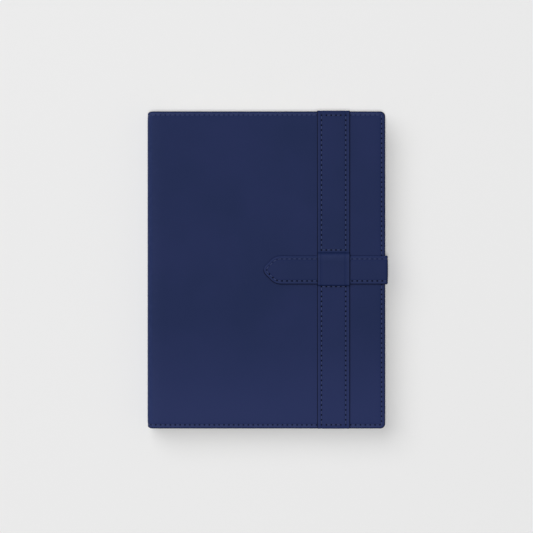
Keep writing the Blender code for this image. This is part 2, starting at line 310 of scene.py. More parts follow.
@dataclass(frozen=True)
class SewingThread:
    """Bonded polyester sewing thread, a little greyer than the leather, with a twisted lay.

    The eye sees pale dashes with slanting plies and a soft sheen; the grooves between the plies are painted
    darker, as shade.
    """

    name: str = "bonded_polyester_thread"
    light: str = "#454F77"
    # Darker colour painted in the grooves between plies, as shade.
    dark: str = "#262F50"
    lay_mm: float = 0.8
    ply_mm: float = 0.06

    def material(self) -> bpy.types.Material:
        """Make the finish.

        Returns:
            The node material, whose plies run round the thread as it goes along.
        """
        material, tree, shader = new_material(self.name, {"Roughness": 0.55, "Specular IOR Level": 0.2})
        along = add_node(tree, ATTRIBUTE, {"attribute_name": "thread_along"}).outputs["Fac"]
        around = add_node(tree, ATTRIBUTE, {"attribute_name": "thread_around"}).outputs["Fac"]
        turning = {0: along, 1: per_metre(self.lay_mm), 2: around}
        turns = add_node(tree, MATH, {"operation": "MULTIPLY_ADD"}, turning)
        phase = add_node(tree, MATH, {"operation": "MULTIPLY"}, {0: turns, 1: 2 * math.pi})
        wave = add_node(tree, MATH, {"operation": "SINE"}, {0: phase})
        # Painted shade: the thread's colour darkens in the grooves between plies.
        ply_and_groove_shade = add_node(tree, MAP_RANGE, SMOOTHED, {"Value": wave, "From Min": -1.0, "From Max": 0.4})
        colour = add_node(tree, MIX, COLOURS, {0: ply_and_groove_shade, 6: self.dark, 7: self.light})
        normal = add_node(tree, BUMP, {}, {"Height": ply_and_groove_shade, "Distance": self.ply_mm * MM})
        tree.links.new(colour.outputs[2], shader.inputs["Base Color"])
        tree.links.new(normal.outputs[0], shader.inputs["Normal"])
        return material


@dataclass(frozen=True)
class NeedleHole:
    """The shaded inside of a hole pierced in leather: dark, matt, no shine."""

    # A dark plug laid in each hole as painted shade.
    name: str = "painted_hole_shade"
    inside: str = "#05060F"
    lip: str = "#0A0C1A"
    uneven_mm: float = 1.2

    def material(self) -> bpy.types.Material:
        """Make the finish.

        Returns:
            The node material, a little uneven from hole to hole.
        """
        material, tree, shader = new_material(self.name, {"Roughness": 0.85, "Specular IOR Level": 0.1})
        place = add_node(tree, "ShaderNodeTexCoord").outputs["Object"]
        lumps = {"Vector": place, "Scale": per_metre(self.uneven_mm), "Detail": 1.0, **LUMPY}
        uneven = add_node(tree, NOISE, {}, lumps)
        colour = add_node(tree, MIX, COLOURS, {0: uneven, 6: self.inside, 7: self.lip})
        tree.links.new(colour.outputs[2], shader.inputs["Base Color"])
        return material


@dataclass(frozen=True)
class Microsuede:
    """Short-napped polyester microsuede: matt, cloudy where the nap lies both ways."""

    name: str = "microsuede_lining"
    base: str = "#2C3047"
    brushed: str = "#333852"
    fleck: str = "#4A5070"
    brush_mm: float = 16.0
    nap_mm: float = 0.35
    nap_rise_mm: float = 0.06

    def material(self) -> bpy.types.Material:
        """Make the finish.

        Returns:
            The node material, which reads the sheet's own coordinates.
        """
        constants = {
            "Roughness": 0.92,
            "Sheen Weight": 0.35,
            "Sheen Roughness": 0.5,
            "Specular IOR Level": 0.2,
        }
        material, tree, shader = new_material(self.name, constants)
        place = add_node(tree, ATTRIBUTE, {"attribute_name": "sheet_place"}).outputs["Vector"]
        clouds, fibre = [
            add_node(tree, NOISE, {}, {"Vector": place, "Scale": per_metre(size), "Detail": 3.0, **LUMPY})
            for size in (self.brush_mm, self.nap_mm)
        ]
        brushed = add_node(tree, MAP_RANGE, SMOOTHED, {"Value": clouds, "From Min": 0.4, "From Max": 0.65})
        flecks = add_node(
            tree,
            MAP_RANGE,
            SMOOTHED,
            {"Value": fibre, "From Min": 0.45, "From Max": 0.8, "To Max": 0.35},
        )
        colour: bpy.types.NodeSocket | str = self.base
        for share, over in ((brushed, self.brushed), (flecks, self.fleck)):
            colour = add_node(tree, MIX, COLOURS, {0: share, 6: colour, 7: over}).outputs[2]
        normal = add_node(tree, BUMP, {}, {"Height": fibre, "Distance": self.nap_rise_mm * MM})
        tree.links.new(colour, shader.inputs["Base Color"])
        tree.links.new(normal.outputs[0], shader.inputs["Normal"])
        return material


@dataclass(frozen=True)
class LedgerPaper:
    """Uncoated cream ledger paper, printed with fine rules and a tinted heading band.

    The rules make the columns of a flight record. They stop short of the paper's edges, and
    there is no lettering.
    """

    name: str = "ledger_paper"
    ruled: bool = True
    sheet: str = "#EDE7D8"
    shade: str = "#E3DCCB"
    rule: str = "#8FA7A6"
    strong_rule: str = "#5C7C80"
    band: str = "#D5DFD3"
    fibre_mm: float = 0.8
    tooth_mm: float = 0.012
    row_mm: float = 8.0
    column_mm: float = 12.0
    fine_mm: float = 0.14
    strong_mm: float = 0.26
    middle_mm: tuple[float, float] = (1.0, 3.0)
    half_width: float = 68.0
    half_height: float = 98.0
    head_band_mm: float = 24.0

    def material(self) -> bpy.types.Material:
        """Make the finish.

        Returns:
            The node material, with its rules placed from the object's own coordinates.
        """
        material, tree, shader = new_material(self.name, {"Roughness": 0.9, "Specular IOR Level": 0.25})
        place = add_node(tree, "ShaderNodeTexCoord").outputs["Object"]
        lumps = {"Vector": place, "Scale": per_metre(self.fibre_mm), "Detail": 4.0, **LUMPY}
        fibre = add_node(tree, NOISE, {}, lumps)
        share = add_node(tree, MAP_RANGE, SMOOTHED, {"Value": fibre, "From Min": 0.35, "From Max": 0.7})
        colour = add_node(tree, MIX, COLOURS, {0: share, 6: self.sheet, 7: self.shade}).outputs[2]
        if self.ruled:
            colour = self.printed(tree, place, colour)
        normal = add_node(tree, BUMP, {}, {"Height": fibre, "Distance": self.tooth_mm * MM})
        tree.links.new(colour, shader.inputs["Base Color"])
        tree.links.new(normal.outputs[0], shader.inputs["Normal"])
        return material

    def printed(
        self, tree: bpy.types.NodeTree, place: bpy.types.NodeSocket, paper: bpy.types.NodeSocket
    ) -> bpy.types.NodeSocket:
        """Print the heading band, rows and columns on the paper.

        Args:
            tree: The material's tree.
            place: The object's own coordinates.
            paper: The blank paper's colour.

        Returns:
            The colour with its print.
        """
        axes = add_node(tree, SEPARATE, {}, {0: place})
        across, up = axes.outputs["X"], axes.outputs["Y"]
        head_middle = self.half_height - self.head_band_mm / 2 + self.middle_mm[1]
        wide, tall, head = [
            add_node(tree, MATH, {"operation": "COMPARE"}, {0: value, 1: middle * MM, 2: half * MM})
            for value, middle, half in (
                (across, self.middle_mm[0], self.half_width),
                (up, self.middle_mm[1], self.half_height),
                (up, head_middle, self.head_band_mm / 2),
            )
        ]
        inside = add_node(tree, MATH, {"operation": "MULTIPLY"}, {0: wide, 1: tall})
        heading = add_node(tree, MATH, {"operation": "MULTIPLY"}, {0: inside, 1: head})
        colour = add_node(tree, MIX, COLOURS, {0: heading, 6: paper, 7: self.band}).outputs[2]
        for value, pitch, width, ink in (
            (up, self.row_mm, self.fine_mm, self.rule),
            (across, self.column_mm, self.fine_mm, self.rule),
            (across, 3 * self.column_mm, self.strong_mm, self.strong_rule),
        ):
            wave = add_node(tree, MATH, {"operation": "PINGPONG"}, {0: value, 1: pitch / 2 * MM})
            line = add_node(tree, MATH, {"operation": "LESS_THAN"}, {0: wave, 1: width / 2 * MM})
            print_here = add_node(tree, MATH, {"operation": "MULTIPLY"}, {0: line, 1: inside})
            colour = add_node(tree, MIX, COLOURS, {0: print_here, 6: colour, 7: ink}).outputs[2]
        return colour


@dataclass(frozen=True)
class PressedBoard:
    """Pressed card or greyboard: matt pulp with short flecks and a faint machine direction."""

    name: str
    base: str
    fleck: str
    emboss_mm: float
    rise_mm: float
    fleck_mm: float = 0.5

    def material(self) -> bpy.types.Material:
        """Make the finish.

        Returns:
            The node material, which reads the object's own coordinates.
        """
        material, tree, shader = new_material(self.name, {"Roughness": 0.8, "Specular IOR Level": 0.3})
        place = add_node(tree, "ShaderNodeTexCoord").outputs["Object"]
        pulp, specks = [
            add_node(tree, NOISE, {}, {"Vector": place, "Scale": per_metre(size), "Detail": fine, **LUMPY})
            for size, fine in ((self.emboss_mm, 3.0), (self.fleck_mm, 1.0))
        ]
        flecks = add_node(
            tree,
            MAP_RANGE,
            SMOOTHED,
            {"Value": specks, "From Min": 0.62, "From Max": 0.75, "To Max": 0.7},
        )
        colour = add_node(tree, MIX, COLOURS, {0: flecks, 6: self.base, 7: self.fleck})
        normal = add_node(tree, BUMP, {}, {"Height": pulp, "Distance": self.rise_mm * MM})
        tree.links.new(colour.outputs[2], shader.inputs["Base Color"])
        tree.links.new(normal.outputs[0], shader.inputs["Normal"])
        return material


@dataclass(frozen=True)
class SeamlessPaper:
    """Pale studio background paper, matt, with a barely visible tooth."""

    name: str = "studio_paper"
    colour: str = "#ECECEC"
    grain_mm: float = 0.7
    tooth_mm: float = 0.004

    def material(self) -> bpy.types.Material:
        """Make the finish.

        Returns:
            The node material of the floor.
        """
        material, tree, shader = new_material(self.name, {"Roughness": 1.0, "Specular IOR Level": 0.0})
        place = add_node(tree, "ShaderNodeTexCoord").outputs["Object"]
        lumps = {"Vector": place, "Scale": per_metre(self.grain_mm), "Detail": 2.0, **LUMPY}
        grain = add_node(tree, NOISE, {}, lumps)
        normal = add_node(tree, BUMP, {}, {"Height": grain, "Distance": self.tooth_mm * MM})
        tree.links.new(normal.outputs[0], shader.inputs["Normal"])
        shader.inputs["Base Color"].default_value = linear(self.colour)
        return material


@dataclass
class Finishes:
    """Every material of the logbook, made once."""

    calf: bpy.types.Material = field(default_factory=lambda: DyedCalf().material())
    thread: bpy.types.Material = field(default_factory=lambda: SewingThread().material())
    hole: bpy.types.Material = field(default_factory=lambda: NeedleHole().material())
    suede: bpy.types.Material = field(default_factory=lambda: Microsuede().material())
    ledger: bpy.types.Material = field(default_factory=lambda: LedgerPaper().material())
    blank: bpy.types.Material = field(
        default_factory=lambda: LedgerPaper(name="blank_flyleaf_paper", ruled=False).material()
    )
    card: bpy.types.Material = field(
        default_factory=lambda: PressedBoard("cover_card", "#343A4D", "#454C61", 0.6, 0.03).material()
    )
    board: bpy.types.Material = field(
        default_factory=lambda: PressedBoard("greyboard", "#95908A", "#7A756F", 1.1, 0.04).material()
    )


# ---------------------------------------------------------------- routes and plans

def eased(share: np.ndarray) -> np.ndarray:
    """Return a share held between 0 and 1 and eased at both ends."""
    held = np.clip(share, 0, 1)
    return held * held * (3 - 2 * held)


@dataclass
class Route:
    """A path of straight runs and arcs seen from the side.

    Attributes:
        start: First point.
        heading: First direction, in degrees from the view's first axis.
        steps: Each step is a straight length, or a radius and a turn in degrees, left positive.
    """

    start: tuple[float, float]
    heading: float
    steps: Sequence[float | tuple[float, float]]

    def runs(self) -> list[tuple[float, np.ndarray, float, float]]:
        """Return each step's first distance, first point, first heading and curvature.

        Returns:
            One row for each step, and a last one for the route's end.
        """
        found = []
        distance = 0.0
        point = np.array(self.start, float)
        heading = math.radians(self.heading)
        for step in self.steps:
            if isinstance(step, tuple):
                radius, turn = step[0], math.radians(step[1])
                bend = math.copysign(1 / radius, turn)
                length = radius * abs(turn)
            else:
                turn, bend, length = 0.0, 0.0, step
            found.append((distance, point, heading, bend))
            point = point + self.along(np.array([length]), heading, bend)[0]
            heading += turn
            distance += length
        found.append((distance, point, heading, 0.0))
        return found

    @property
    def length(self) -> float:
        """The route's whole length."""
        return self.runs()[-1][0]

    @staticmethod
    def along(distance: np.ndarray, heading: float, bend: float) -> np.ndarray:
        """Return how far a run has moved after each distance.

        Args:
            distance: Distances from the run's start.
            heading: The run's first heading, in radians.
            bend: The run's curvature, 0 where it is straight.

        Returns:
            One row of two coordinates for each distance.
        """
        if bend == 0:
            return distance[:, None] * np.array([math.cos(heading), math.sin(heading)])
        turned = heading + bend * distance
        across = np.sin(turned) - math.sin(heading)
        up = math.cos(heading) - np.cos(turned)
        return np.stack([across, up], 1) / bend

    def place(self, distance: np.ndarray, left: np.ndarray) -> np.ndarray:
        """Return the points at distances along the route, moved to its left.

        Args:
            distance: Distances along the route; the ends carry on straight.
            left: How far each point is moved to the left of the heading.

        Returns:
            One row of two coordinates for each distance.
        """
        runs = self.runs()
        starts = np.array([run[0] for run in runs])
        which = np.clip(np.searchsorted(starts, distance, "right") - 1, 0, len(runs) - 1)
        out = np.zeros((len(distance), 2))
        for index, (begin, point, heading, bend) in enumerate(runs):
            chosen = which == index
            local = distance[chosen] - begin
            turned = heading + bend * local
            normal = np.stack([-np.sin(turned), np.cos(turned)], 1)
            out[chosen] = point + self.along(local, heading, bend) + normal * left[chosen, None]
        return out


@dataclass
class Plan:
    """The flat outline of a sheet that starts straight across and ends in a shape.

    Attributes:
        half: Half the sheet's width.
        stations: Distances along the straight sides.
    """

    half: float
    stations: np.ndarray

    def outline(self, inset: float) -> tuple[np.ndarray, int, int]:
        """Return the outline moved inwards, and where its end begins and stops."""
        raise NotImplementedError

    def joined(self, side: np.ndarray, end: np.ndarray) -> tuple[np.ndarray, int, int]:
        """Return one outline from the lower side, the end, and the mirrored side.

        Args:
            side: The lower side's points, up to the end's first point.
            end: The end's points, from the lower side to the upper.

        Returns:
            The outline, and the numbers of the end's first and last points.
        """
        upper = side[::-1] * np.array([1.0, -1.0])
        outline = np.concatenate([side, end[1:-1], upper])
        return outline, len(side) - 1, len(side) - 1 + len(end) - 1


@dataclass
class SquarePlan(Plan):
    """A strip whose end is cut square."""

    across: int = 12

    def outline(self, inset: float) -> tuple[np.ndarray, int, int]:
        """Return the strip's outline; only its long sides move inwards.

        Args:
            inset: How far the outline moves in.

        Returns:
            The outline, and the numbers of the end's first and last points.
        """
        half = self.half - inset
        side = np.stack([self.stations, np.full(len(self.stations), -half)], 1)
        rows = np.linspace(-half, half, self.across + 1)
        end = np.stack([np.full(len(rows), self.stations[-1]), rows], 1)
        return self.joined(side, end)


@dataclass
class PanelPlan(Plan):
    """A cover panel whose two far corners are round."""

    length: float = 100.0
    corner: float = 3.5
    across: int = 60
    least: float = 0.4

    def outline(self, inset: float) -> tuple[np.ndarray, int, int]:
        """Return the panel's outline, every side but the first moved inwards.

        Args:
            inset: How far the outline moves in.

        Returns:
            The outline, and the numbers of the end's first and last points.
        """
        radius = max(self.corner - inset, self.least)
        centre = inset + radius
        near = self.stations[0]
        share = (self.stations - near) / (self.length - self.corner - near)
        along = self.stations + share * (self.corner - centre)
        straight = np.stack([along, np.full(len(along), -(self.half - inset))], 1)
        middle = np.array([self.length - centre, centre - self.half])
        turn = np.radians(np.linspace(-90, 0, 11))
        corner = middle + radius * np.stack([np.cos(turn), np.sin(turn)], 1)
        rows = np.linspace(corner[-1, 1], -corner[-1, 1], self.across + 1)
        edge = np.stack([np.full(len(rows), corner[-1, 0]), rows], 1)
        side = np.concatenate([straight, corner[1:6]])
        far = corner[5:][::-1] * np.array([1.0, -1.0])
        end = np.concatenate([corner[5:], edge[1:-1], far])
        return self.joined(side, end)


@dataclass
class TipPlan(Plan):
    """A strap that ends in round shoulders, 45 degree flanks and a blunt nose."""

    length: float = 100.0
    shoulder: float = 10.0
    nose: float = 4.9
    least: float = 0.25

    def shoulder_start(self) -> float:
        """Return where the straight side ends and the shoulder starts to turn."""
        flank_end = self.half - self.nose * math.tan(math.radians(22.5))
        return self.length - flank_end - self.shoulder * math.tan(math.radians(22.5))

    def outline(self, inset: float) -> tuple[np.ndarray, int, int]:
        """Return the strap's outline moved inwards, with the corners kept a little round.

        Args:
            inset: How far the outline moves in.

        Returns:
            The outline, and the numbers of the end's first and last points.
        """
        start = self.shoulder_start()
        shoulder = max(self.shoulder - inset, self.least)
        nose = max(self.nose - inset, self.least)
        nose_shift = (nose - (self.nose - inset)) * math.sqrt(2)
        nose_middle = np.array([self.length - self.nose - nose_shift, 0.0])
        side = np.stack([self.stations, np.full(len(self.stations), inset - self.half)], 1)
        turn = np.radians(np.linspace(-90, -45, 8))
        bend = np.array([start, self.shoulder - self.half])
        bend = bend + shoulder * np.stack([np.cos(turn), np.sin(turn)], 1)
        around = np.radians(np.linspace(-45, 45, 13))
        tip = nose_middle + nose * np.stack([np.cos(around), np.sin(around)], 1)
        flank = np.linspace(bend[-1], tip[0], 8)
        lower = np.concatenate([side, bend[1:], flank[1:4]])
        upper_flank = flank[::-1] * np.array([1.0, -1.0])
        end = np.concatenate([flank[3:], tip[1:-1], upper_flank[:5]])
        return self.joined(lower, end)


@dataclass(frozen=True)
class Ring:
    """One loop of a sheet's section: how far in from the outline, how deep, and its finish: a paler
    colour that is partly wear and partly painted highlight, and a dark edge colour that is edge paint
    on cut edges and painted shade on turned ones.
    """

    inset: float
    depth: float
    wear_and_highlight: float = 0.0
    cut: float = 0.0


@dataclass
class Surface:
    """Where a sheet's own (along, across, depth) comes to lie in the closed book."""

    route: Route

    def place(self, flat: np.ndarray) -> np.ndarray:
        """Return points in the book for rows of along, across and depth."""
        raise NotImplementedError

    def up(self, flat: np.ndarray) -> np.ndarray:
        """Return the directions out of the sheet's face.

        Args:
            flat: Rows of along, across and depth.

        Returns:
            One direction of about unit length for each row.
        """
        step = 0.05
        raised = flat - np.array([0.0, 0.0, step])
        return (self.place(raised) - self.place(flat)) / step


@dataclass
class CoverSurface(Surface):
    """The cover from the middle of the spine, round the corner and along one panel.

    Attributes:
        side: Which panel.
        thickness: The closed book's thickness, which the back panel is mirrored about.
        half_height: Half the cover's height, which the spine's ends draw in from.
        leather: The leather's thickness; the layers inside it follow the boards.
        board_ends: Distances along the cover between which there is no board: the end of the
            spine's stiffener, the hinge gutter's two sides, and the edge of the panel's board.
        sunk: How much nearer to the outside the inner layers lie over the stiffener and in
            the gutter, where they are pressed onto the leather.
        draw_in: How far the spine's ends are drawn in, which rounds the cover's corners there.
        draw_reach: How fast that fades along the panel.
    """

    side: Side = Side.FRONT
    thickness: float = 22.0
    half_height: float = 112.0
    leather: float = 1.2
    board_ends: tuple[float, float, float, float] = (7.7, 9.6, 12.8, 15.0)
    sunk: tuple[float, float] = (0.6, 1.7)
    draw_in: float = 0.35
    draw_reach: float = 1.6

    def place(self, flat: np.ndarray) -> np.ndarray:
        """Return points in the book, with the spine's ends drawn in.

        Args:
            flat: Rows of along, across and depth.

        Returns:
            One row of x, y and z for each, in millimetres.
        """
        along, across, depth = flat.T
        stiffener, near, far, board = self.board_ends
        spine, gutter = self.sunk
        drop = spine + (gutter - spine) * eased((along - stiffener) / (near - stiffener))
        drop = drop * (1 - eased((along - far) / (board - far)))
        inner = np.clip((depth - self.leather) / 1.8, 0, 1)
        depth = depth - drop * inner
        section = self.route.place(along, -depth)
        outer = self.route.place(along, np.zeros(len(along)))
        from_spine = outer[:, 0] - self.route.start[0]
        narrow = self.draw_in * np.exp(-from_spine / self.draw_reach) / self.half_height
        height = section[:, 1]
        if self.side is Side.BACK:
            height = self.thickness - height
        return np.stack([section[:, 0], across * (1 - narrow), height], 1)


@dataclass
class StrapSurface(Surface):
    """The strap from its root, up the fore edge and over the front; depth 0 is its face."""

    thickness: float = 1.6

    def place(self, flat: np.ndarray) -> np.ndarray:
        """Return points in the book; the route is the strap's middle.

        Args:
            flat: Rows of along, across and depth.

        Returns:
            One row of x, y and z for each, in millimetres.
        """
        along, across, depth = flat.T
        section = self.route.place(along, depth - self.thickness / 2)
        return np.stack([section[:, 0], across, section[:, 1]], 1)


@dataclass
class BandSurface(Surface):
    """The band from the head, over the front cover to the tail.

    Its route is the band's underside, and its ends are pared thin before they turn over.
    """

    middle: float = 47.65
    thickness: float = 0.9
    pared: float = 0.32
    pare_length: float = 7.0

    def place(self, flat: np.ndarray) -> np.ndarray:
        """Return points in the book, thinner towards both ends.

        Args:
            flat: Rows of along, across and depth.

        Returns:
            One row of x, y and z for each, in millimetres.
        """
        along, across, depth = flat.T
        from_end = np.minimum(along, self.route.length - along)
        share = eased(from_end / self.pare_length)
        thick = self.pared + (self.thickness - self.pared) * share
        lift = (1 - depth / self.thickness) * thick
        section = self.route.place(along, -lift)
        return np.stack([self.middle - across, section[:, 0], section[:, 1]], 1)


# ---------------------------------------------------------------- meshes

def mesh_object(
    name: str, points: np.ndarray, faces: Sequence[Sequence[int]], close: bool = True
) -> bpy.types.Object:
    """Make a smooth mesh object at the origin from points in millimetres.

    Args:
        name: The object's name.
        points: One row of x, y and z for each vertex.
        faces: Vertex numbers of each face.
        close: Fill open loops, and turn the faces outwards.

    Returns:
        The new object, linked to the scene.
    """
    mesh = bpy.data.meshes.new(name)
    mesh.from_pydata((points * MM).tolist(), [], [list(face) for face in faces])
    if close:
        shape = bmesh.new()
        shape.from_mesh(mesh)
        loose = [edge for edge in shape.edges if edge.is_boundary]
        for cap in bmesh.ops.holes_fill(shape, edges=loose, sides=0)["faces"]:
            for edge in cap.edges:
                edge.smooth = False
        bmesh.ops.recalc_face_normals(shape, faces=shape.faces)
        shape.to_mesh(mesh)
        shape.free()
    mesh.shade_smooth()
    made = bpy.data.objects.new(name, mesh)
    bpy.context.scene.collection.objects.link(made)
    return made


def store(obj: bpy.types.Object, name: str, values: np.ndarray) -> None:
    """Store a number or a vector for each vertex under a name.

    Args:
        obj: The mesh object.
        name: The attribute's name.
        values: A number, or a row of three, for each vertex.
    """
    kind = "FLOAT_VECTOR" if values.ndim == 2 else "FLOAT"
    made = obj.data.attributes.new(name, kind, "POINT")
    member = "vector" if values.ndim == 2 else "value"
    made.data.foreach_set(member, values.astype(np.float32).ravel())


def stored(obj: bpy.types.Object, name: str) -> np.ndarray:
    """Return the numbers that a mesh stores for its vertices under a name.

    Args:
        obj: The mesh object.
        name: The attribute's name.

    Returns:
        One number for each vertex.
    """
    values = np.empty(len(obj.data.vertices))
    obj.data.attributes[name].data.foreach_get("value", values)
    return values


def restore(obj: bpy.types.Object, name: str, values: np.ndarray) -> None:
    """Change the numbers that a mesh stores for its vertices under a name."""
    obj.data.attributes[name].data.foreach_set("value", values.astype(np.float32))


def places(obj: bpy.types.Object) -> np.ndarray:
    """Return where a mesh's vertices are, in millimetres.

    Args:
        obj: The mesh object.

    Returns:
        One row of x, y and z for each vertex.
    """
    values = np.empty(3 * len(obj.data.vertices))
    obj.data.vertices.foreach_get("co", values)
    return values.reshape(-1, 3) / MM


def dress(obj: bpy.types.Object, material: bpy.types.Material) -> bpy.types.Object:
    """Give a piece its material.

    Args:
        obj: The piece.
        material: Its finish.

    Returns:
        The same piece.
    """
    obj.data.materials.clear()
    obj.data.materials.append(material)
    return obj


@dataclass
class Sheet:
    """A closed sheet with shaped edges, made in its plan and laid on a surface.

    Attributes:
        plan: The flat outline.
        rings: The section, from the face's inner loop over the edge to the back's inner loop.
        crown: How far the middle of the face stands above its inner loop.
    """

    plan: Plan
    rings: Sequence[Ring]
    crown: float = 0.0

    def patch(self, ring: Ring, crown: float) -> tuple[np.ndarray, np.ndarray]:
        """Return a filled inner loop as a grid of points, and the order of its border.

        Args:
            ring: The section's first or last loop.
            crown: How far the patch's middle stands above the loop.

        Returns:
            Rows of along, across and depth, and the border's vertex numbers in order.
        """
        outline, first, last = self.plan.outline(ring.inset)
        lower = outline[: first + 1]
        upper = outline[last:][::-1]
        end = outline[first : last + 1]
        share = (end[:, 1] - end[0, 1]) / (end[-1, 1] - end[0, 1])
        chord = end[0] + share[:, None] * (end[-1] - end[0])
        reach = np.linspace(0, 1, len(lower)) ** 8
        grid = lower[:, None] + share[None, :, None] * (upper - lower)[:, None]
        grid = grid + reach[:, None, None] * (end - chord)[None]
        rows, columns = grid.shape[:2]
        rise = crown * (1 - (2 * share - 1) ** 2)
        depth = np.full((rows, columns), ring.depth) - rise[None]
        points = np.concatenate([grid, depth[:, :, None]], 2).reshape(-1, 3)
        number = np.arange(rows * columns).reshape(rows, columns)
        border = np.concatenate([number[:, 0], number[-1, 1:], number[-2::-1, -1]])
        return points, border

    def build(self, name: str, surface: Surface) -> bpy.types.Object:
        """Return the sheet as a mesh, with its finish's coordinates and edges stored.

        Args:
            name: The object's name.
            surface: What the sheet lies on.

        Returns:
            The new object.
        """
        face, face_border = self.patch(self.rings[0], self.crown)
        back, back_border = self.patch(self.rings[-1], 0.0)
        blocks = [face]
        loops = [face_border]
        count = len(face)
        for ring in self.rings[1:-1]:
            outline = self.plan.outline(ring.inset)[0]
            depth = np.full((len(outline), 1), ring.depth)
            blocks.append(np.concatenate([outline, depth], 1))
            loops.append(np.arange(count, count + len(outline)))
            count += len(outline)
        blocks.append(back)
        loops.append(back_border + count)
        faces = self.grid_faces(0) + self.grid_faces(count)
        for outer, inner in zip(loops[:-1], loops[1:]):
            faces += [
                (outer[i], outer[i + 1], inner[i + 1], inner[i]) for i in range(len(outer) - 1)
            ]
        flat = np.concatenate(blocks)
        sizes = [len(block) for block in blocks]
        made = mesh_object(name, surface.place(flat), faces)
        store(made, "sheet_place", flat * MM)
        store(made, "edge_wear_and_highlight", np.repeat([ring.wear_and_highlight for ring in self.rings], sizes))
        store(made, "edge_paint_and_shade", np.repeat([ring.cut for ring in self.rings], sizes))
        return made

    def grid_faces(self, first: int) -> list[tuple[int, int, int, int]]:
        """Return the quads of a patch whose vertices start at a number.

        Args:
            first: The patch's first vertex number.

        Returns:
            Vertex numbers of each quad.
        """
        begin, stop = self.plan.outline(self.rings[0].inset)[1:]
        rows, columns = begin + 1, stop - begin + 1
        number = first + np.arange(rows * columns).reshape(rows, columns)
        corners = (number[:-1, :-1], number[1:, :-1], number[1:, 1:], number[:-1, 1:])
        return list(zip(*(corner.ravel().tolist() for corner in corners)))


# ---------------------------------------------------------------- geometry node trees

def node_tree(name: str, sockets: dict[str, str]) -> tuple[bpy.types.NodeTree, bpy.types.Node]:
    """Start a geometry tree with named inputs and one geometry output.

    Args:
        name: The tree's name.
        sockets: Each input's name and the kind of its socket.

    Returns:
        The tree and its input node.
    """
    tree = bpy.data.node_groups.new(name, "GeometryNodeTree")
    for label, kind in sockets.items():
        tree.interface.new_socket(name=label, in_out="INPUT", socket_type=f"NodeSocket{kind}")
    tree.interface.new_socket(name="Geometry", in_out="OUTPUT", socket_type="NodeSocketGeometry")
    return tree, add_node(tree, "NodeGroupInput")


def finish_tree(tree: bpy.types.NodeTree, shape: bpy.types.Node, finish: bpy.types.NodeSocket) -> None:
    """End a tree: realize its instances, shade them smooth and set their material.

    Args:
        tree: The tree.
        shape: The node whose first output is the shape.
        finish: The tree's own material input.
    """
    solid = add_node(tree, "GeometryNodeRealizeInstances", {}, {"Geometry": shape})
    smooth = add_node(tree, "GeometryNodeSetShadeSmooth", {}, {"Geometry": solid})
    dressed = add_node(tree, "GeometryNodeSetMaterial", {}, {"Geometry": smooth, "Material": finish})
    add_node(tree, "NodeGroupOutput", {}, {"Geometry": dressed})


def grown(
    name: str, source: bpy.types.Object, tree: bpy.types.NodeTree, values: dict[str, object]
) -> bpy.types.Object:
    """Run a geometry tree on an object and keep the result as a plain mesh.

    Args:
        name: The result's name.
        source: The object that the tree starts from; it is removed.
        tree: The geometry tree.
        values: Named inputs of the tree.

    Returns:
        The new object.
    """
    modifier = source.modifiers.new("grow", "NODES")
    modifier.node_group = tree
    identifiers = {
        item.name: item.identifier
        for item in tree.interface.items_tree
        if item.item_type == "SOCKET" and item.in_out == "INPUT"
    }
    for label, value in values.items():
        modifier[identifiers[label]] = value
    bpy.context.view_layer.update()
    evaluated = source.evaluated_get(bpy.context.evaluated_depsgraph_get())
    mesh = bpy.data.meshes.new_from_object(evaluated)
    mesh.name = name
    made = bpy.data.objects.new(name, mesh)
    bpy.context.scene.collection.objects.link(made)
    source.modifiers.remove(modifier)
    bpy.data.objects.remove(source, do_unlink=True)
    return made


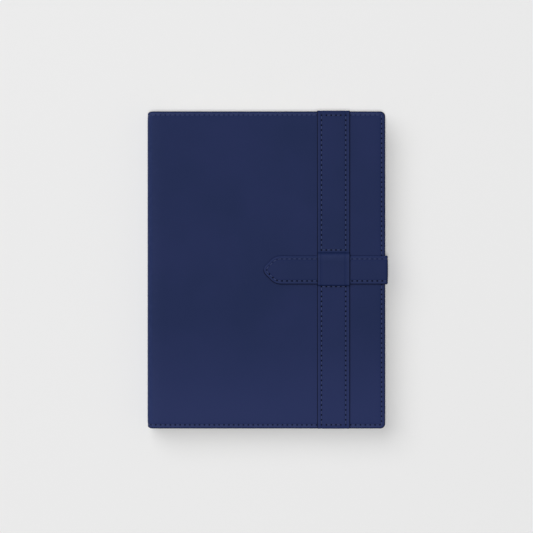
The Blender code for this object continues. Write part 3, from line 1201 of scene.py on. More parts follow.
class SeamTrees:
    """The two trees that sew a seam: threads between the holes, and the holes."""

    def __init__(self) -> None:
        """Build both trees."""
        self.threads = self.thread_tree()
        self.holes = self.hole_tree()

    def stations(
        self, tree: bpy.types.NodeTree, given: bpy.types.Node, parity: int
    ) -> dict[str | int, object]:
        """Return what an instance node needs to stand on every second point of the seam.

        Args:
            tree: The tree.
            given: The tree's input node.
            parity: 0 for the threads' middles, which are the odd points, and 1 for the holes.

        Returns:
            Inputs of the instance node, by name.
        """
        curve = add_node(tree, "GeometryNodeMeshToCurve", {}, {"Mesh": given.outputs["Geometry"]})
        count = {"Curve": curve, "Count": given.outputs["Half stitches"]}
        points = add_node(tree, "GeometryNodeCurveToPoints", {"mode": "COUNT"}, count)
        up = add_node(tree, NAMED, {"data_type": "FLOAT_VECTOR"}, {"Name": "up"})
        forward = add_node(tree, ALIGN, {"axis": "X"}, {"Vector": points.outputs["Tangent"]})
        upright = add_node(
            tree, ALIGN, {"axis": "Z", "pivot_axis": "X"}, {"Rotation": forward, "Vector": up}
        )
        index = add_node(tree, "GeometryNodeInputIndex")
        shifted = add_node(tree, MATH, {"operation": "ADD"}, {0: index, 1: float(parity)})
        odd = add_node(tree, MATH, {"operation": "MODULO"}, {0: shifted, 1: 2.0})
        return {"Points": points, "Selection": odd, "Rotation": upright}

    def thread_tree(self) -> bpy.types.NodeTree:
        """Make the tree of threads, each an arched tube that dives into its holes.

        Returns:
            The tree, with named inputs.
        """
        tree, given = node_tree(
            "seam_threads",
            {
                "Geometry": "Geometry",
                "Half stitches": "Int",
                "Half length": "Float",
                "Arch": "Float",
                "Dive": "Float",
                "Radius": "Float",
                "Material": "Material",
            },
        )
        back, dip = [
            add_node(tree, MATH, {"operation": "MULTIPLY"}, {0: given.outputs[label], 1: -1.0})
            for label in ("Half length", "Dive")
        ]
        start, end = [
            add_node(tree, COMBINE, {}, {"X": reach, "Z": dip})
            for reach in (back, given.outputs["Half length"])
        ]
        top = add_node(tree, COMBINE, {}, {"Z": given.outputs["Arch"]})
        arch = add_node(
            tree,
            "GeometryNodeCurveQuadraticBezier",
            {},
            {"Resolution": 7, "Start": start, "Middle": top, "End": end},
        )
        ring = add_node(
            tree,
            "GeometryNodeCurvePrimitiveCircle",
            {"mode": "RADIUS"},
            {"Resolution": 8, "Radius": given.outputs["Radius"]},
        )
        swept = {
            "Curve": self.measured(tree, arch, "thread_along", "Length"),
            "Profile Curve": self.measured(tree, ring, "thread_around", "Factor"),
            "Fill Caps": True,
        }
        tube = add_node(tree, "GeometryNodeCurveToMesh", {}, swept)
        where = self.stations(tree, given, 0)
        row = add_node(tree, "GeometryNodeInstanceOnPoints", {}, {**where, "Instance": tube})
        finish_tree(tree, row, given.outputs["Material"])
        return tree

    def measured(
        self, tree: bpy.types.NodeTree, curve: bpy.types.Node, name: str, output: str
    ) -> bpy.types.Node:
        """Make a curve store its own length or factor under a name.

        Args:
            tree: The tree.
            curve: The node whose first output is the curve.
            name: The attribute's name.
            output: What is stored, Length or Factor.

        Returns:
            The node whose first output is the same curve, with its attribute.
        """
        along = add_node(tree, "GeometryNodeSplineParameter")
        return add_node(
            tree,
            "GeometryNodeStoreNamedAttribute",
            {"data_type": "FLOAT", "domain": "POINT"},
            {"Geometry": curve, "Name": name, "Value": along.outputs[output]},
        )

    def hole_tree(self) -> bpy.types.NodeTree:
        """Make the tree of needle holes, each a shallow dark plug that paints the shade inside the hole.

        Returns:
            The tree, with named inputs.
        """
        tree, given = node_tree(
            "needle_holes",
            {
                "Geometry": "Geometry",
                "Half stitches": "Int",
                "Radius": "Float",
                "Material": "Material",
            },
        )
        plug = add_node(
            tree,
            "GeometryNodeMeshCylinder",
            {},
            {"Vertices": 10, "Radius": given.outputs["Radius"], "Depth": 0.12 * MM},
        )
        where = self.stations(tree, given, 1)
        # Each plug, which is painted hole shade, is scaled by the size stored along the line.
        where["Scale"] = add_node(tree, NAMED, {}, {"Name": "opening"})
        row = add_node(tree, "GeometryNodeInstanceOnPoints", {}, {**where, "Instance": plug})
        finish_tree(tree, row, given.outputs["Material"])
        return tree


@dataclass
class Seam:
    """A row of lock stitches along a line in a sheet's plan.

    Attributes:
        line: Rows of along and across.
        depth: How deep the bottom of the stitching groove lies.
        inside: The stitches show on the sheet's inner face.
        even: The number of stitches is even, so that a hole falls on the line's middle.
        head_hole_shade: How large the holes' painted shade is on the sheet's head side, which faces the
            light.
        head_start: How far across the sheet its head side starts.
        pitch: Length from one hole to the next.
        thread_radius: Half of the thread's thickness.
        hole_radius: Half of an open hole's width.
        visible: Length of a stitch between its two holes.
        rise: How far a stitch's ends stand over the line before they dive.
        arch: Height of the point that pulls a stitch up; the stitch reaches half of it.
        dive: How deep a stitch's ends go.
    """

    line: np.ndarray
    depth: float
    inside: bool = False
    even: bool = False
    head_hole_shade: float = 1.0
    head_start: float = 0.0
    pitch: float = STITCH_PITCH
    thread_radius: float = 0.27
    hole_radius: float = 0.58
    visible: float = 2.5
    rise: float = 0.12
    arch: float = 0.62
    dive: float = 0.55

    def sew(
        self, name: str, surface: Surface, trees: SeamTrees, finishes: Finishes
    ) -> list[bpy.types.Object]:
        """Sew the seam with threads and needle holes.

        Args:
            name: The seam's name.
            surface: What the sheet lies on.
            trees: The trees that repeat a stitch along a line.
            finishes: The logbook's materials.

        Returns:
            The threads and the needle holes, a piece each.
        """
        fine = self.refined(0.5)
        flat = np.concatenate([fine, np.full((len(fine), 1), self.depth)], 1)
        points = surface.place(flat)
        up = surface.up(flat) * (-1 if self.inside else 1)
        # The holes' painted shade shrinks towards the head side, which faces the light.
        opening = 1 + (self.head_hole_shade - 1) * eased((fine[:, 1] - self.head_start) / 2 + 0.5)
        reach = np.linalg.norm(np.diff(points, axis=0), axis=1).sum()
        stitches = max(1, round(reach / self.pitch))
        if self.even:
            stitches = 2 * max(1, round(reach / self.pitch / 2))
        count = 2 * stitches + 1
        threads = grown(
            f"{name}_thread",
            self.row(f"{name}_threads", points + up * self.rise, up, opening),
            trees.threads,
            {
                "Half stitches": count,
                "Half length": self.visible / 2 * MM,
                "Arch": self.arch * MM,
                "Dive": self.dive * MM,
                "Radius": self.thread_radius * MM,
                "Material": finishes.thread,
            },
        )
        holes = grown(
            f"{name}_holes",
            self.row(f"{name}_needles", points, up, opening),
            trees.holes,
            {
                "Half stitches": count,
                "Radius": self.hole_radius * MM,
                "Material": finishes.hole,
            },
        )
        return [threads, holes]

    def refined(self, step: float) -> np.ndarray:
        """Return the line with points no further apart than a step.

        Args:
            step: The longest gap, in millimetres.

        Returns:
            Rows of along and across.
        """
        made = [self.line[:1]]
        for first, second in zip(self.line[:-1], self.line[1:]):
            parts = max(1, math.ceil(np.linalg.norm(second - first) / step))
            share = np.linspace(0, 1, parts + 1)[1:, None]
            made.append(first + share * (second - first))
        return np.concatenate(made)

    def row(
        self, name: str, points: np.ndarray, up: np.ndarray, opening: np.ndarray
    ) -> bpy.types.Object:
        """Return a line of edges that a seam is sewn along.

        Args:
            name: The line's name.
            points: The line's points, in millimetres.
            up: The direction out of the leather at each point.
            opening: How large the painted shade of a hole is at each point, from 0 to 1.

        Returns:
            The line, which stores the directions and the sizes of the hole shades.
        """
        mesh = bpy.data.meshes.new(name)
        edges = [(i, i + 1) for i in range(len(points) - 1)]
        mesh.from_pydata((points * MM).tolist(), edges, [])
        made = bpy.data.objects.new(name, mesh)
        bpy.context.scene.collection.objects.link(made)
        store(made, "up", up)
        store(made, "opening", opening)
        return made


# ---------------------------------------------------------------- the leather cover

def millimetres(node: str) -> tuple[np.ndarray, np.ndarray]:
    """Return a CAD node's lowest and highest corners in millimetres."""
    low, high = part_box(node)
    return np.array(low) / MM, np.array(high) / MM


@dataclass
class Assembly:
    """A sub-assembly of the logbook, and what it is made with.

    Attributes:
        trees: The trees that repeat a stitch along a line.
        finishes: The logbook's materials.
    """

    trees: SeamTrees
    finishes: Finishes

    def build(self) -> list[bpy.types.Object]:
        """Make every piece of the sub-assembly and return them."""
        raise NotImplementedError


@dataclass
class Cover(Assembly):
    """The stiffened leather cover: skins, linings, sleeves, and the book's card cover.

    Attributes:
        spine_radius: How tightly the leather rolls round the spine's corners.
        seam_inset: How far in from the edge the perimeter seam runs.
        groove_depth: How deep the seam is pressed into the leather.
        bend_reach: Length of skin on each side of the spine's corner that bends.
        lining_inset: How far the lining and the sleeves stop short of the cover's edge.
        lining_span: Depth of the lining's outer face below the leather's, and its thickness.
        card_half: Half the height of the book's own card cover.
        card_span: Depth and thickness of the card, the same way.
        sleeve_seams: Depths of the seam round the sleeve and of its hem's.
        seam_pitch: Length of a stitch of the perimeter seam.
    """

    spine_radius: float = 4.5
    seam_inset: float = 2.65
    groove_depth: float = 0.35
    bend_reach: float = 3.0
    lining_inset: float = 1.5
    lining_span: tuple[float, float] = (3.0, 0.5)
    card_half: float = 107.5
    card_span: tuple[float, float] = (3.6, 0.4)
    sleeve_seams: tuple[float, float] = (4.07, 4.6)
    seam_pitch: float = 3.44

    def __post_init__(self) -> None:
        """Read the cover's box from the frame."""
        low, high = millimetres("back_leather")
        self.half_height = float(high[1])
        self.half_width = float(high[0])
        self.spine_x = float(low[0])
        self.thickness = float(millimetres("front_leather")[1][2])
        rise = self.thickness / 2 - self.spine_radius
        run = self.half_width - self.spine_x - self.spine_radius
        self.route = Route(
            (self.spine_x, self.thickness / 2), 90.0, [rise, (self.spine_radius, -90.0), run]
        )

    def surface(self, side: Side) -> CoverSurface:
        """Return where a side's sheets lie."""
        return CoverSurface(self.route, side, self.thickness, self.half_height)

    def panel_plan(self, inset: float, corner: float) -> PanelPlan:
        """Return the plan of a layer that stops an inset short of the cover's edge.

        Args:
            inset: How far the layer stops short of the cover's edge.
            corner: Radius of its far corners.

        Returns:
            The layer's plan.
        """
        bend = np.concatenate([np.linspace(0, 5, 5), np.arange(5.5, 16.1, 0.5), [18.0, 20.0]])
        length = self.route.length - inset
        rest = np.linspace(20, length - corner, 42)[1:]
        stations = np.concatenate([bend, rest])
        return PanelPlan(self.half_height - inset, stations, length, corner)

    def hang(self, piece: bpy.types.Object, side: Side) -> None:
        """Bend a piece between the spine and its panel.

        Args:
            piece: A sheet, or a seam on it.
            side: Which panel it runs onto.
        """
        outer = self.thickness if side is Side.FRONT else 0.0
        inward = -self.bend_reach if side is Side.FRONT else self.bend_reach
        on_spine = Vector((self.spine_x, 0, outer + inward)) * MM
        on_panel = Vector((self.spine_x + self.bend_reach, 0, outer)) * MM
        if side is Side.FRONT:
            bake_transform(piece, Body.SPINE.value, Body.FRONT.value, on_spine, on_panel)
        else:
            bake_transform(piece, Body.BACK.value, Body.SPINE.value, on_panel, on_spine)

    def skin(self, side: Side) -> bpy.types.Object:
        """Make the outer leather, turned over the board, with its groove for the seam.

        Args:
            side: Which half of the cover.

        Returns:
            The skin, which stands for the panel's leather and the spine's.
        """
        groove = self.seam_inset
        # A ring's third value is a paler colour, partly wear and partly a painted highlight along the
        # rounded edge.
        rings = [
            Ring(7.5, 0.0),
            Ring(5.5, 0.02),
            Ring(groove + 1.2, 0.06),
            Ring(groove + 0.8, 0.13, 0.15),
            Ring(groove + 0.5, 0.3, 0.25),
            Ring(groove, self.groove_depth, 0.3),
            Ring(groove - 0.5, 0.3, 0.5),
            Ring(groove - 0.8, 0.16, 0.75),
            Ring(1.45, 0.15, 0.75),
            Ring(1.1, 0.21, 0.6),
            # These rings darken the turned edge with the edge colour, as painted shade: the skin is turned,
            # not cut, and has no edge paint.
            Ring(0.75, 0.36, 0.1, 0.15),
            Ring(0.3, 0.8, 0.0, 0.5),
            Ring(0.1, 1.2, 0.0, 0.4),
            Ring(0.0, 1.7, 0.1, 0.2),
            Ring(0.02, 2.3, 0.3),
            Ring(0.12, 2.75, 0.4),
            Ring(0.35, 3.15, 0.4),
            Ring(0.7, 3.4, 0.3),
            Ring(1.1, 3.48),
            Ring(1.42, 3.4),
            Ring(1.46, 2.6),
            Ring(1.5, 1.3),
            Ring(1.9, 1.2),
        ]
        sheet = Sheet(self.panel_plan(0.0, 3.5), rings)
        piece = sheet.build(f"{side.value}_leather_skin", self.surface(side))
        self.paint_spine_highlight(piece)
        dress(piece, self.finishes.calf)
        self.hang(piece, side)
        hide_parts(f"{side.value}_leather", "spine_leather")
        return piece

    def paint_spine_highlight(self, skin: bpy.types.Object) -> None:
        """Paint a highlight on the leather where it rounds over the spine and catches the light, and less at
        the fore edge.

        Args:
            skin: One side's leather, with its wear and painted highlight stored for its vertices.
        """
        across = places(skin)[:, 0]
        from_spine = across - self.spine_x
        tight = np.clip(1 - from_spine / 3.6, 0, 1)
        loose = np.clip(1 - from_spine / 11.0, 0, 1)
        less_at_fore_edge = 1 - 0.8 * eased((across - across.max()) / 3 + 1.6)
        wear_and_highlight = stored(skin, "edge_wear_and_highlight") * less_at_fore_edge + 0.5 * np.sqrt(tight) + 0.35 * loose
        restore(skin, "edge_wear_and_highlight", np.clip(wear_and_highlight, 0, 1))

    def flat_layer(
        self, name: str, side: Side, inset: float, top: float, thick: float
    ) -> bpy.types.Object:
        """Return a plain layer inside the cover, with softened edges.

        Args:
            name: The layer's name.
            side: Which half of the cover.
            inset: How far it stops short of the cover's edge.
            top: Depth of its outer face below the leather's.
            thick: Its thickness.

        Returns:
            The layer, without a finish.
        """
        soft = min(0.12, thick / 3)
        rings = [
            Ring(0.8, top),
            Ring(soft, top),
            Ring(0.0, top + soft),
            Ring(0.0, top + thick - soft),
            Ring(soft, top + thick),
            Ring(0.8, top + thick),
        ]
        sheet = Sheet(self.panel_plan(inset, 2.0), rings)
        return sheet.build(name, self.surface(side))

    def lining(self, side: Side) -> bpy.types.Object:
        """Make the suede lining of a panel and its half of the spine.

        Args:
            side: Which half of the cover.

        Returns:
            The lining.
        """
        piece = self.flat_layer(f"{side.value}_suede_lining", side, self.lining_inset, *self.lining_span)
        dress(piece, self.finishes.suede)
        self.hang(piece, side)
        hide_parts(f"{side.value}_lining", "spine_lining")
        return piece

    def card(self, side: Side) -> bpy.types.Object:
        """Make the logbook's own card cover on a side, with its half of the card spine.

        Args:
            side: Which half of the cover.

        Returns:
            The card cover.
        """
        inset = self.half_height - self.card_half
        piece = self.flat_layer(f"{side.value}_card_cover", side, inset, *self.card_span)
        dress(piece, self.finishes.card)
        self.hang(piece, side)
        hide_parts(f"{side.value}_card", "spine_card")
        return piece

    def sleeve_start(self) -> float:
        """Return how far along the route the sleeves' open edges lie."""
        opening = float(millimetres("front_sleeve")[0][0])
        return self.route.length - (self.half_width - opening)

    def sleeve(self, side: Side) -> bpy.types.Object:
        """Make the sleeve that holds a card cover, sewn down round its rim.

        Args:
            side: Which half of the cover.

        Returns:
            The sleeve.
        """
        start = self.sleeve_start()
        length = self.route.length - self.lining_inset
        hem = start + np.array([0, 0.4, 1.2])
        rest = np.linspace(start + 3, length - 2, 24)
        stations = np.concatenate([hem, rest])
        plan = PanelPlan(self.half_height - self.lining_inset, stations, length, 2.0)
        rings = [
            Ring(4.5, 4.6),
            Ring(3.1, 4.58),
            Ring(2.4, 4.48),
            Ring(1.9, 4.24),
            Ring(1.5, 4.1),
            Ring(0.9, 4.07),
            Ring(0.4, 4.08),
            Ring(0.1, 4.02),
            Ring(0.0, 3.85),
            Ring(0.1, 3.66),
            Ring(0.4, 3.58),
            Ring(1.5, 3.58),
            Ring(2.0, 3.74),
            Ring(2.5, 4.0),
            Ring(3.1, 4.1),
            Ring(4.5, 4.1),
        ]
        piece = Sheet(plan, rings).build(f"{side.value}_card_sleeve", self.surface(side))
        dress(piece, self.finishes.suede)
        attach(piece, self.panel_body(side).value)
        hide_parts(f"{side.value}_sleeve")
        return piece

    def panel_body(self, side: Side) -> Body:
        """Return the body of a side's panel."""
        return Body.FRONT if side is Side.FRONT else Body.BACK

    def outer_seam(self, side: Side) -> list[bpy.types.Object]:
        """Sew the seam that runs round the outside from one end of the spine to the other.

        Args:
            side: Which half of the cover.

        Returns:
            The threads and the needle holes.
        """
        line = self.panel_plan(0.0, 3.5).outline(self.seam_inset)[0].copy()
        line[[0, -1], 0] = STITCH_PITCH / 2
        seam = Seam(
            line,
            self.groove_depth,
            even=True,
            head_hole_shade=0.6,
            head_start=self.half_height - 5,
            pitch=self.seam_pitch,
            hole_radius=0.55,
        )
        pieces = seam.sew(f"{side.value}_edge_seam", self.surface(side), self.trees, self.finishes)
        for piece in pieces:
            self.hang(piece, side)
        return pieces

    def inner_seams(self, side: Side) -> list[bpy.types.Object]:
        """Sew what shows of the seams inside: on the lining, round the sleeve and on its hem.

        Args:
            side: Which half of the cover.

        Returns:
            The threads and the needle holes of each seam.
        """
        start = self.sleeve_start()
        surface = self.surface(side)
        line = self.panel_plan(0.0, 3.5).outline(self.seam_inset)[0]
        rim = line[line[:, 0] > start + 1]
        row = self.half_height - self.seam_inset
        rim = np.concatenate([[[start + 0.8, -row]], rim, [[start + 0.8, row]]])
        hem = np.array([[start + 3.0, -(row - 4)], [start + 3.0, row - 4]])
        sewn = []
        for name, run, depth in zip(("sleeve", "hem"), (rim, hem), self.sleeve_seams):
            seam = Seam(run, depth, inside=True)
            sewn += seam.sew(f"{side.value}_{name}_seam", surface, self.trees, self.finishes)
        for piece in sewn:
            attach(piece, self.panel_body(side).value)
        for end, place in (("tail", -row), ("head", row)):
            run = np.array([[STITCH_PITCH / 2, place], [start - 1, place]])
            name = f"{side.value}_lining_seam_{end}"
            seam = Seam(run, sum(self.lining_span), inside=True)
            made = seam.sew(name, surface, self.trees, self.finishes)
            for piece in made:
                self.hang(piece, side)
            sewn += made
        return sewn

    def stiffen(self) -> list[bpy.types.Object]:
        """Dress the boards inside the leather, which stay as the frame has them.

        Returns:
            The three boards.
        """
        boards = [frame["nodes"][name] for name in ("back_board", "front_board", "spine_stiffener")]
        for board in boards:
            board.data.materials.clear()
            board.data.materials.append(self.finishes.board)
        return boards

    def build(self) -> list[bpy.types.Object]:
        """Make the whole cover.

        Returns:
            Every piece of the cover.
        """
        pieces = self.stiffen()
        for side in Side:
            pieces += [
                self.skin(side),
                self.lining(side),
                self.card(side),
                self.sleeve(side),
                *self.outer_seam(side),
                *self.inner_seams(side),
            ]
        return pieces


@dataclass
class KeeperBand(Assembly):
    """The band round the front cover, whose middle stands up as a loop for the strap.

    Attributes:
        seam_inset: How far in from its edges the band is sewn down.
        swell: How far the painted edge stands out past the frame's solid.
        crest: Where the loop's flat top starts and stops, towards the head and the tail.
        ramp: Length and height of the head side's slope.
        turn_in: Radius of the turns over the head and tail edges.
        tail_inlay: How far the tail end is let into the cover's edge, which makes it flush.
        groove_depth: How deep the seams are pressed into the band.
        thickness: The band's thickness.
        gap: Air between the band and the cover's face.
        rub_and_highlight: How much paler the leather is painted along the loop's head crest and slope, as a
            painted highlight.
    """

    seam_inset: float = 3.05
    swell: float = 0.2
    crest: tuple[float, float] = (9.8, -9.95)
    ramp: tuple[float, float] = (3.3, 2.0)
    turn_in: float = 1.1
    tail_inlay: float = 0.45
    groove_depth: float = 0.2
    thickness: float = 0.9
    gap: float = 0.06
    rub_and_highlight: float = 0.3

    def __post_init__(self) -> None:
        """Read the band's box from the frame and lay out its route."""
        low, high = millimetres("keeper_band")
        panel = float(millimetres("front_leather")[1][2])
        self.middle = float(low[0] + high[0]) / 2 - self.swell
        self.half = float(high[0] - low[0]) / 2 + self.swell
        under = panel + self.gap
        outside = float(high[1]) - 0.3
        run, rise = self.ramp
        slope = math.degrees(2 * math.atan2(rise, run))
        radius = run / (2 * math.sin(math.radians(slope)))
        self.lip = under - self.turn_in - float(low[2])
        head = outside - self.turn_in - self.crest[0] - run
        tight, wide = 0.3, 1.15
        drop = rise - tight - wide
        tail = outside - self.tail_inlay - self.turn_in + self.crest[1] - tight - wide
        steps = [
            self.lip,
            (self.turn_in, 90.0),
            head,
            (radius, -slope),
            (radius, slope),
            self.crest[0] - self.crest[1],
            (tight, 90.0),
            drop,
            (wide, -90.0),
            tail,
            (self.turn_in, 90.0),
            self.lip,
        ]
        self.route = Route((outside, float(low[2])), 90.0, steps)
        runs = [run[0] for run in self.route.runs()]
        self.head_foot = runs[3]
        self.tail_foot = runs[9]
        self.turned = runs[2]
        self.crest_at = runs[5]

    def surface(self) -> BandSurface:
        """Return where the band lies."""
        return BandSurface(self.route, self.middle, self.thickness)

    def stations(self) -> np.ndarray:
        """Return distances along the band, close together in its bends.

        Returns:
            Distances from the start of the band's head end.
        """
        places = []
        runs = self.route.runs()
        for first, second in zip(runs[:-1], runs[1:]):
            length = second[0] - first[0]
            parts = 6 if first[3] else max(2, math.ceil(length / 4))
            places.append(np.linspace(first[0], second[0], parts + 1)[:-1])
        return np.concatenate([*places, [self.route.length]])

    def band(self) -> bpy.types.Object:
        """Make the band with painted edges and two stitching grooves.

        Returns:
            The band.
        """
        groove = self.seam_inset
        # A ring's third value is a paler colour, partly wear and partly a painted highlight along the edge.
        rings = [
            Ring(groove + 2.2, 0.0),
            Ring(groove + 1.1, 0.01),
            Ring(groove + 0.8, 0.05),
            Ring(groove + 0.5, 0.17),
            Ring(groove, self.groove_depth),
            Ring(groove - 0.5, 0.17),
            Ring(groove - 0.8, 0.05),
            Ring(1.3, 0.0, 0.2),
            Ring(0.8, 0.03, 0.25),
            Ring(0.55, 0.09, 0.1, 0.5),
            Ring(0.25, 0.2, 0.0, 0.8),
            Ring(0.04, 0.36, 0.0, 0.9),
            Ring(0.0, 0.5, 0.0, 1.0),
            Ring(0.04, 0.7, 0.0, 1.0),
            Ring(0.2, 0.86, 0.0, 1.0),
            Ring(0.5, 0.9),
            Ring(2.0, 0.9),
        ]
        plan = SquarePlan(self.half, self.stations())
        piece = Sheet(plan, rings).build("keeper_band_leather", self.surface())
        # Painted highlight along the loop's head crest and slope, where the tilted leather reads darker
        # under the overhead light.
        spots = places(piece)
        on_loop = spots[:, 2] > self.route.place(np.array([self.crest_at]), np.zeros(1))[0, 1]
        from_crest = (spots[:, 1] - self.crest[0] - 0.4) / 1.7
        rub_and_highlight_share = stored(piece, "edge_wear_and_highlight") + self.rub_and_highlight * on_loop * np.exp(-(from_crest**2))
        restore(piece, "edge_wear_and_highlight", np.clip(rub_and_highlight_share, 0, 1))
        dress(piece, self.finishes.calf)
        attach(piece, Body.FRONT.value)
        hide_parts("keeper_band")
        return piece

    def seams(self) -> list[bpy.types.Object]:
        """Sew the band down each side and across at its ends and beside the loop.

        Returns:
            The threads and the needle holes of each seam.
        """
        row = self.half - self.seam_inset
        end = self.turned + 1.8
        head, tail = self.head_foot - 1.0, self.tail_foot + 0.3
        last = self.route.length - self.turned - 1.3
        lines = {
            "head_spine_side": [[end, row], [head, row]],
            "head_fore_side": [[end, -row], [head, -row]],
            "head_cross": [[head, row], [head, -row]],
            "tail_spine_side": [[tail, row], [last, row]],
            "tail_fore_side": [[tail, -row], [last, -row]],
            "tail_cross": [[tail, row], [tail, -row]],
            "head_end": [[end, STITCH_PITCH - row], [end, row - STITCH_PITCH]],
            "tail_end": [[last, STITCH_PITCH - row], [last, row - STITCH_PITCH]],
        }
        sewn = []
        for name, line in lines.items():
            depth = self.groove_depth if name.endswith("side") else 0.04
            seam = Seam(np.array(line), depth)
            sewn += seam.sew(f"keeper_{name}_seam", self.surface(), self.trees, self.finishes)
        for piece in sewn:
            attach(piece, Body.FRONT.value)
        return sewn

    def build(self) -> list[bpy.types.Object]:
        """Make the band and its seams."""
        return [self.band(), *self.seams()]


@dataclass
class ClosureStrap(Assembly):
    """The strap from inside the back cover, up the fore edge and through the loop.

    Attributes:
        seam_inset: How far in from its edges the strap's two layers are sewn together.
        bends: Radius of the strap's middle at the root bend and over the front edge.
        head_side_dark_edge: How much of the dark edge is left on the head side; the full dark edge on the
            tail side is edge paint with painted shade.
        groove_depth: How deep the seam is pressed into the strap.
        thickness: Both layers together.
        root_ends: Where the skin starts and stops bending at the root, in the closed book.
        fold_ends: Where it starts and stops bending at the fold over the front.
    """

    seam_inset: float = 2.4
    bends: tuple[float, float] = (1.1, 1.0)
    head_side_dark_edge: float = 0.05
    groove_depth: float = 0.26
    thickness: float = 1.6
    root_ends: tuple[tuple[float, float, float], ...] = ((83.2, 0.0, 2.1), (85.0, 0.0, 4.0))
    fold_ends: tuple[tuple[float, float, float], ...] = ((85.0, 0.0, 20.5), (82.5, 0.0, 23.0))

    def __post_init__(self) -> None:
        """Read the strap's boxes from the frame and lay out its route."""
        root = millimetres("strap_root_face")[0]
        backing = millimetres("strap_root_backing")[1]
        wrap = millimetres("strap_wrap_face")[1]
        low, high = millimetres("strap_tongue_face")
        under = (float(root[2]) + float(backing[2])) / 2
        out = float(wrap[0]) - self.thickness / 2
        over = float(high[2]) - self.thickness / 2
        start = float(root[0]) + 2
        first, second = self.bends
        steps = [
            out - first - start,
            (first, 90.0),
            over - second - under - first,
            (second, 90.0),
            out - second - float(low[0]),
        ]
        self.half = float(high[1])
        self.route = Route((start, under), 0.0, steps)
        runs = self.route.runs()
        self.root_bend = (runs[1][0], runs[2][0])
        self.fold = (runs[3][0], runs[4][0])
        self.split = (runs[2][0] + runs[3][0]) / 2

    def surface(self) -> StrapSurface:
        """Return where the strap lies."""
        return StrapSurface(self.route, self.thickness)

    def rings(self) -> list[Ring]:
        """Return the section: two layers sewn together, with edges painted as one.

        Returns:
            The section's loops, from the face round to the back.
        """
        groove = self.seam_inset
        # A ring's third value is a paler colour, partly wear and partly a painted highlight along the edge.
        return [
            Ring(groove + 2.6, 0.0),
            Ring(groove + 1.1, 0.02),
            Ring(groove + 0.8, 0.07),
            Ring(groove + 0.5, 0.22),
            Ring(groove, self.groove_depth),
            Ring(groove - 0.5, 0.22),
            Ring(groove - 0.8, 0.09, 0.1),
            Ring(1.2, 0.07, 0.3),
            Ring(0.75, 0.12, 0.45),
            Ring(0.5, 0.2, 0.2, 0.5),
            Ring(0.18, 0.42, 0.0, 0.9),
            Ring(0.02, 0.66, 0.0, 1.0),
            Ring(0.08, 0.8, 0.0, 1.0),
            Ring(0.02, 0.94, 0.0, 1.0),
            Ring(0.14, 1.2, 0.0, 1.0),
            Ring(0.4, 1.46, 0.0, 0.9),
            Ring(0.8, 1.58),
            Ring(2.2, 1.6),
        ]

    def shade_tail_side_edge(self, piece: bpy.types.Object) -> None:
        """Keep the dark edge full on the strap's tail side, as edge paint with painted shade under its lower
        edge, and thin it on the head side, which faces the light.

        Args:
            piece: One half of the strap.
        """
        # Painted shade: the dark edge stays full on the tail side and fades on the lit head side.
        head_side = eased(places(piece)[:, 1] / 2 + 0.5)
        paint = stored(piece, "edge_paint_and_shade") * (1 - (1 - self.head_side_dark_edge) * head_side)
        restore(piece, "edge_paint_and_shade", paint)

    def lower(self) -> bpy.types.Object:
        """Make the strap from its root to halfway up the fore edge.

        Returns:
            The strap's lower half.
        """
        bend = np.linspace(*self.root_bend, 9)
        stations = np.concatenate(
            [np.linspace(0, bend[0], 12)[:-1], bend, np.linspace(bend[-1], self.split, 10)[1:]]
        )
        piece = Sheet(SquarePlan(self.half, stations), self.rings(), 0.05).build(
            "strap_lower_leather", self.surface()
        )
        self.shade_tail_side_edge(piece)
        dress(piece, self.finishes.calf)
        self.hang_lower(piece)
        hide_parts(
            "strap_root_face", "strap_root_backing", "strap_wrap_face", "strap_wrap_backing"
        )
        return piece

    def upper(self) -> bpy.types.Object:
        """Make the strap from halfway up the fore edge to its tip.

        Returns:
            The strap's upper half.
        """
        piece = Sheet(self.tip_plan(), self.rings(), 0.05).build("strap_upper_leather", self.surface())
        self.shade_tail_side_edge(piece)
        dress(piece, self.finishes.calf)
        self.hang_upper(piece)
        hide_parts("strap_tongue_face", "strap_tongue_backing")
        return piece

    def tip_plan(self) -> TipPlan:
        """Return the plan of the upper half.

        Returns:
            The plan, with its stations close together in the fold.
        """
        plan = TipPlan(self.half, np.zeros(1), self.route.length)
        fold = np.linspace(*self.fold, 9)
        plan.stations = np.concatenate(
            [
                np.linspace(self.split, fold[0], 10)[:-1],
                fold,
                np.linspace(fold[-1], plan.shoulder_start(), 36)[1:],
            ]
        )
        return plan

    def hang_lower(self, piece: bpy.types.Object) -> None:
        """Bend a piece at the strap's root.

        Args:
            piece: The strap's lower half, or a seam on it.
        """
        first, last = (Vector(end) * MM for end in self.root_ends)
        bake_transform(piece, Body.BACK.value, Body.WRAP.value, first, last)

    def hang_upper(self, piece: bpy.types.Object) -> None:
        """Bend a piece where the strap folds over the front.

        Args:
            piece: The strap's upper half, or a seam on it.
        """
        first, last = (Vector(end) * MM for end in self.fold_ends)
        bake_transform(piece, Body.WRAP.value, Body.TONGUE.value, first, last)

    def seams(self) -> list[bpy.types.Object]:
        """Sew the strap's layers together along its edges and round its tip.

        Returns:
            The threads and the needle holes of each seam.
        """
        row = self.half - self.seam_inset
        sewn = []
        for name, side in (("tail_side", -row), ("head_side", row)):
            line = np.array([[self.root_bend[0] - 1, side], [self.split - 1.2, side]])
            seam = Seam(line, self.groove_depth, head_hole_shade=0.5)
            for piece in seam.sew(f"strap_lower_seam_{name}", self.surface(), self.trees, self.finishes):
                self.hang_lower(piece)
                sewn.append(piece)
        line = self.tip_plan().outline(self.seam_inset)[0]
        seam = Seam(line, self.groove_depth, even=True, head_hole_shade=0.5)
        for piece in seam.sew("strap_upper_seam", self.surface(), self.trees, self.finishes):
            self.hang_upper(piece)
            sewn.append(piece)
        return sewn

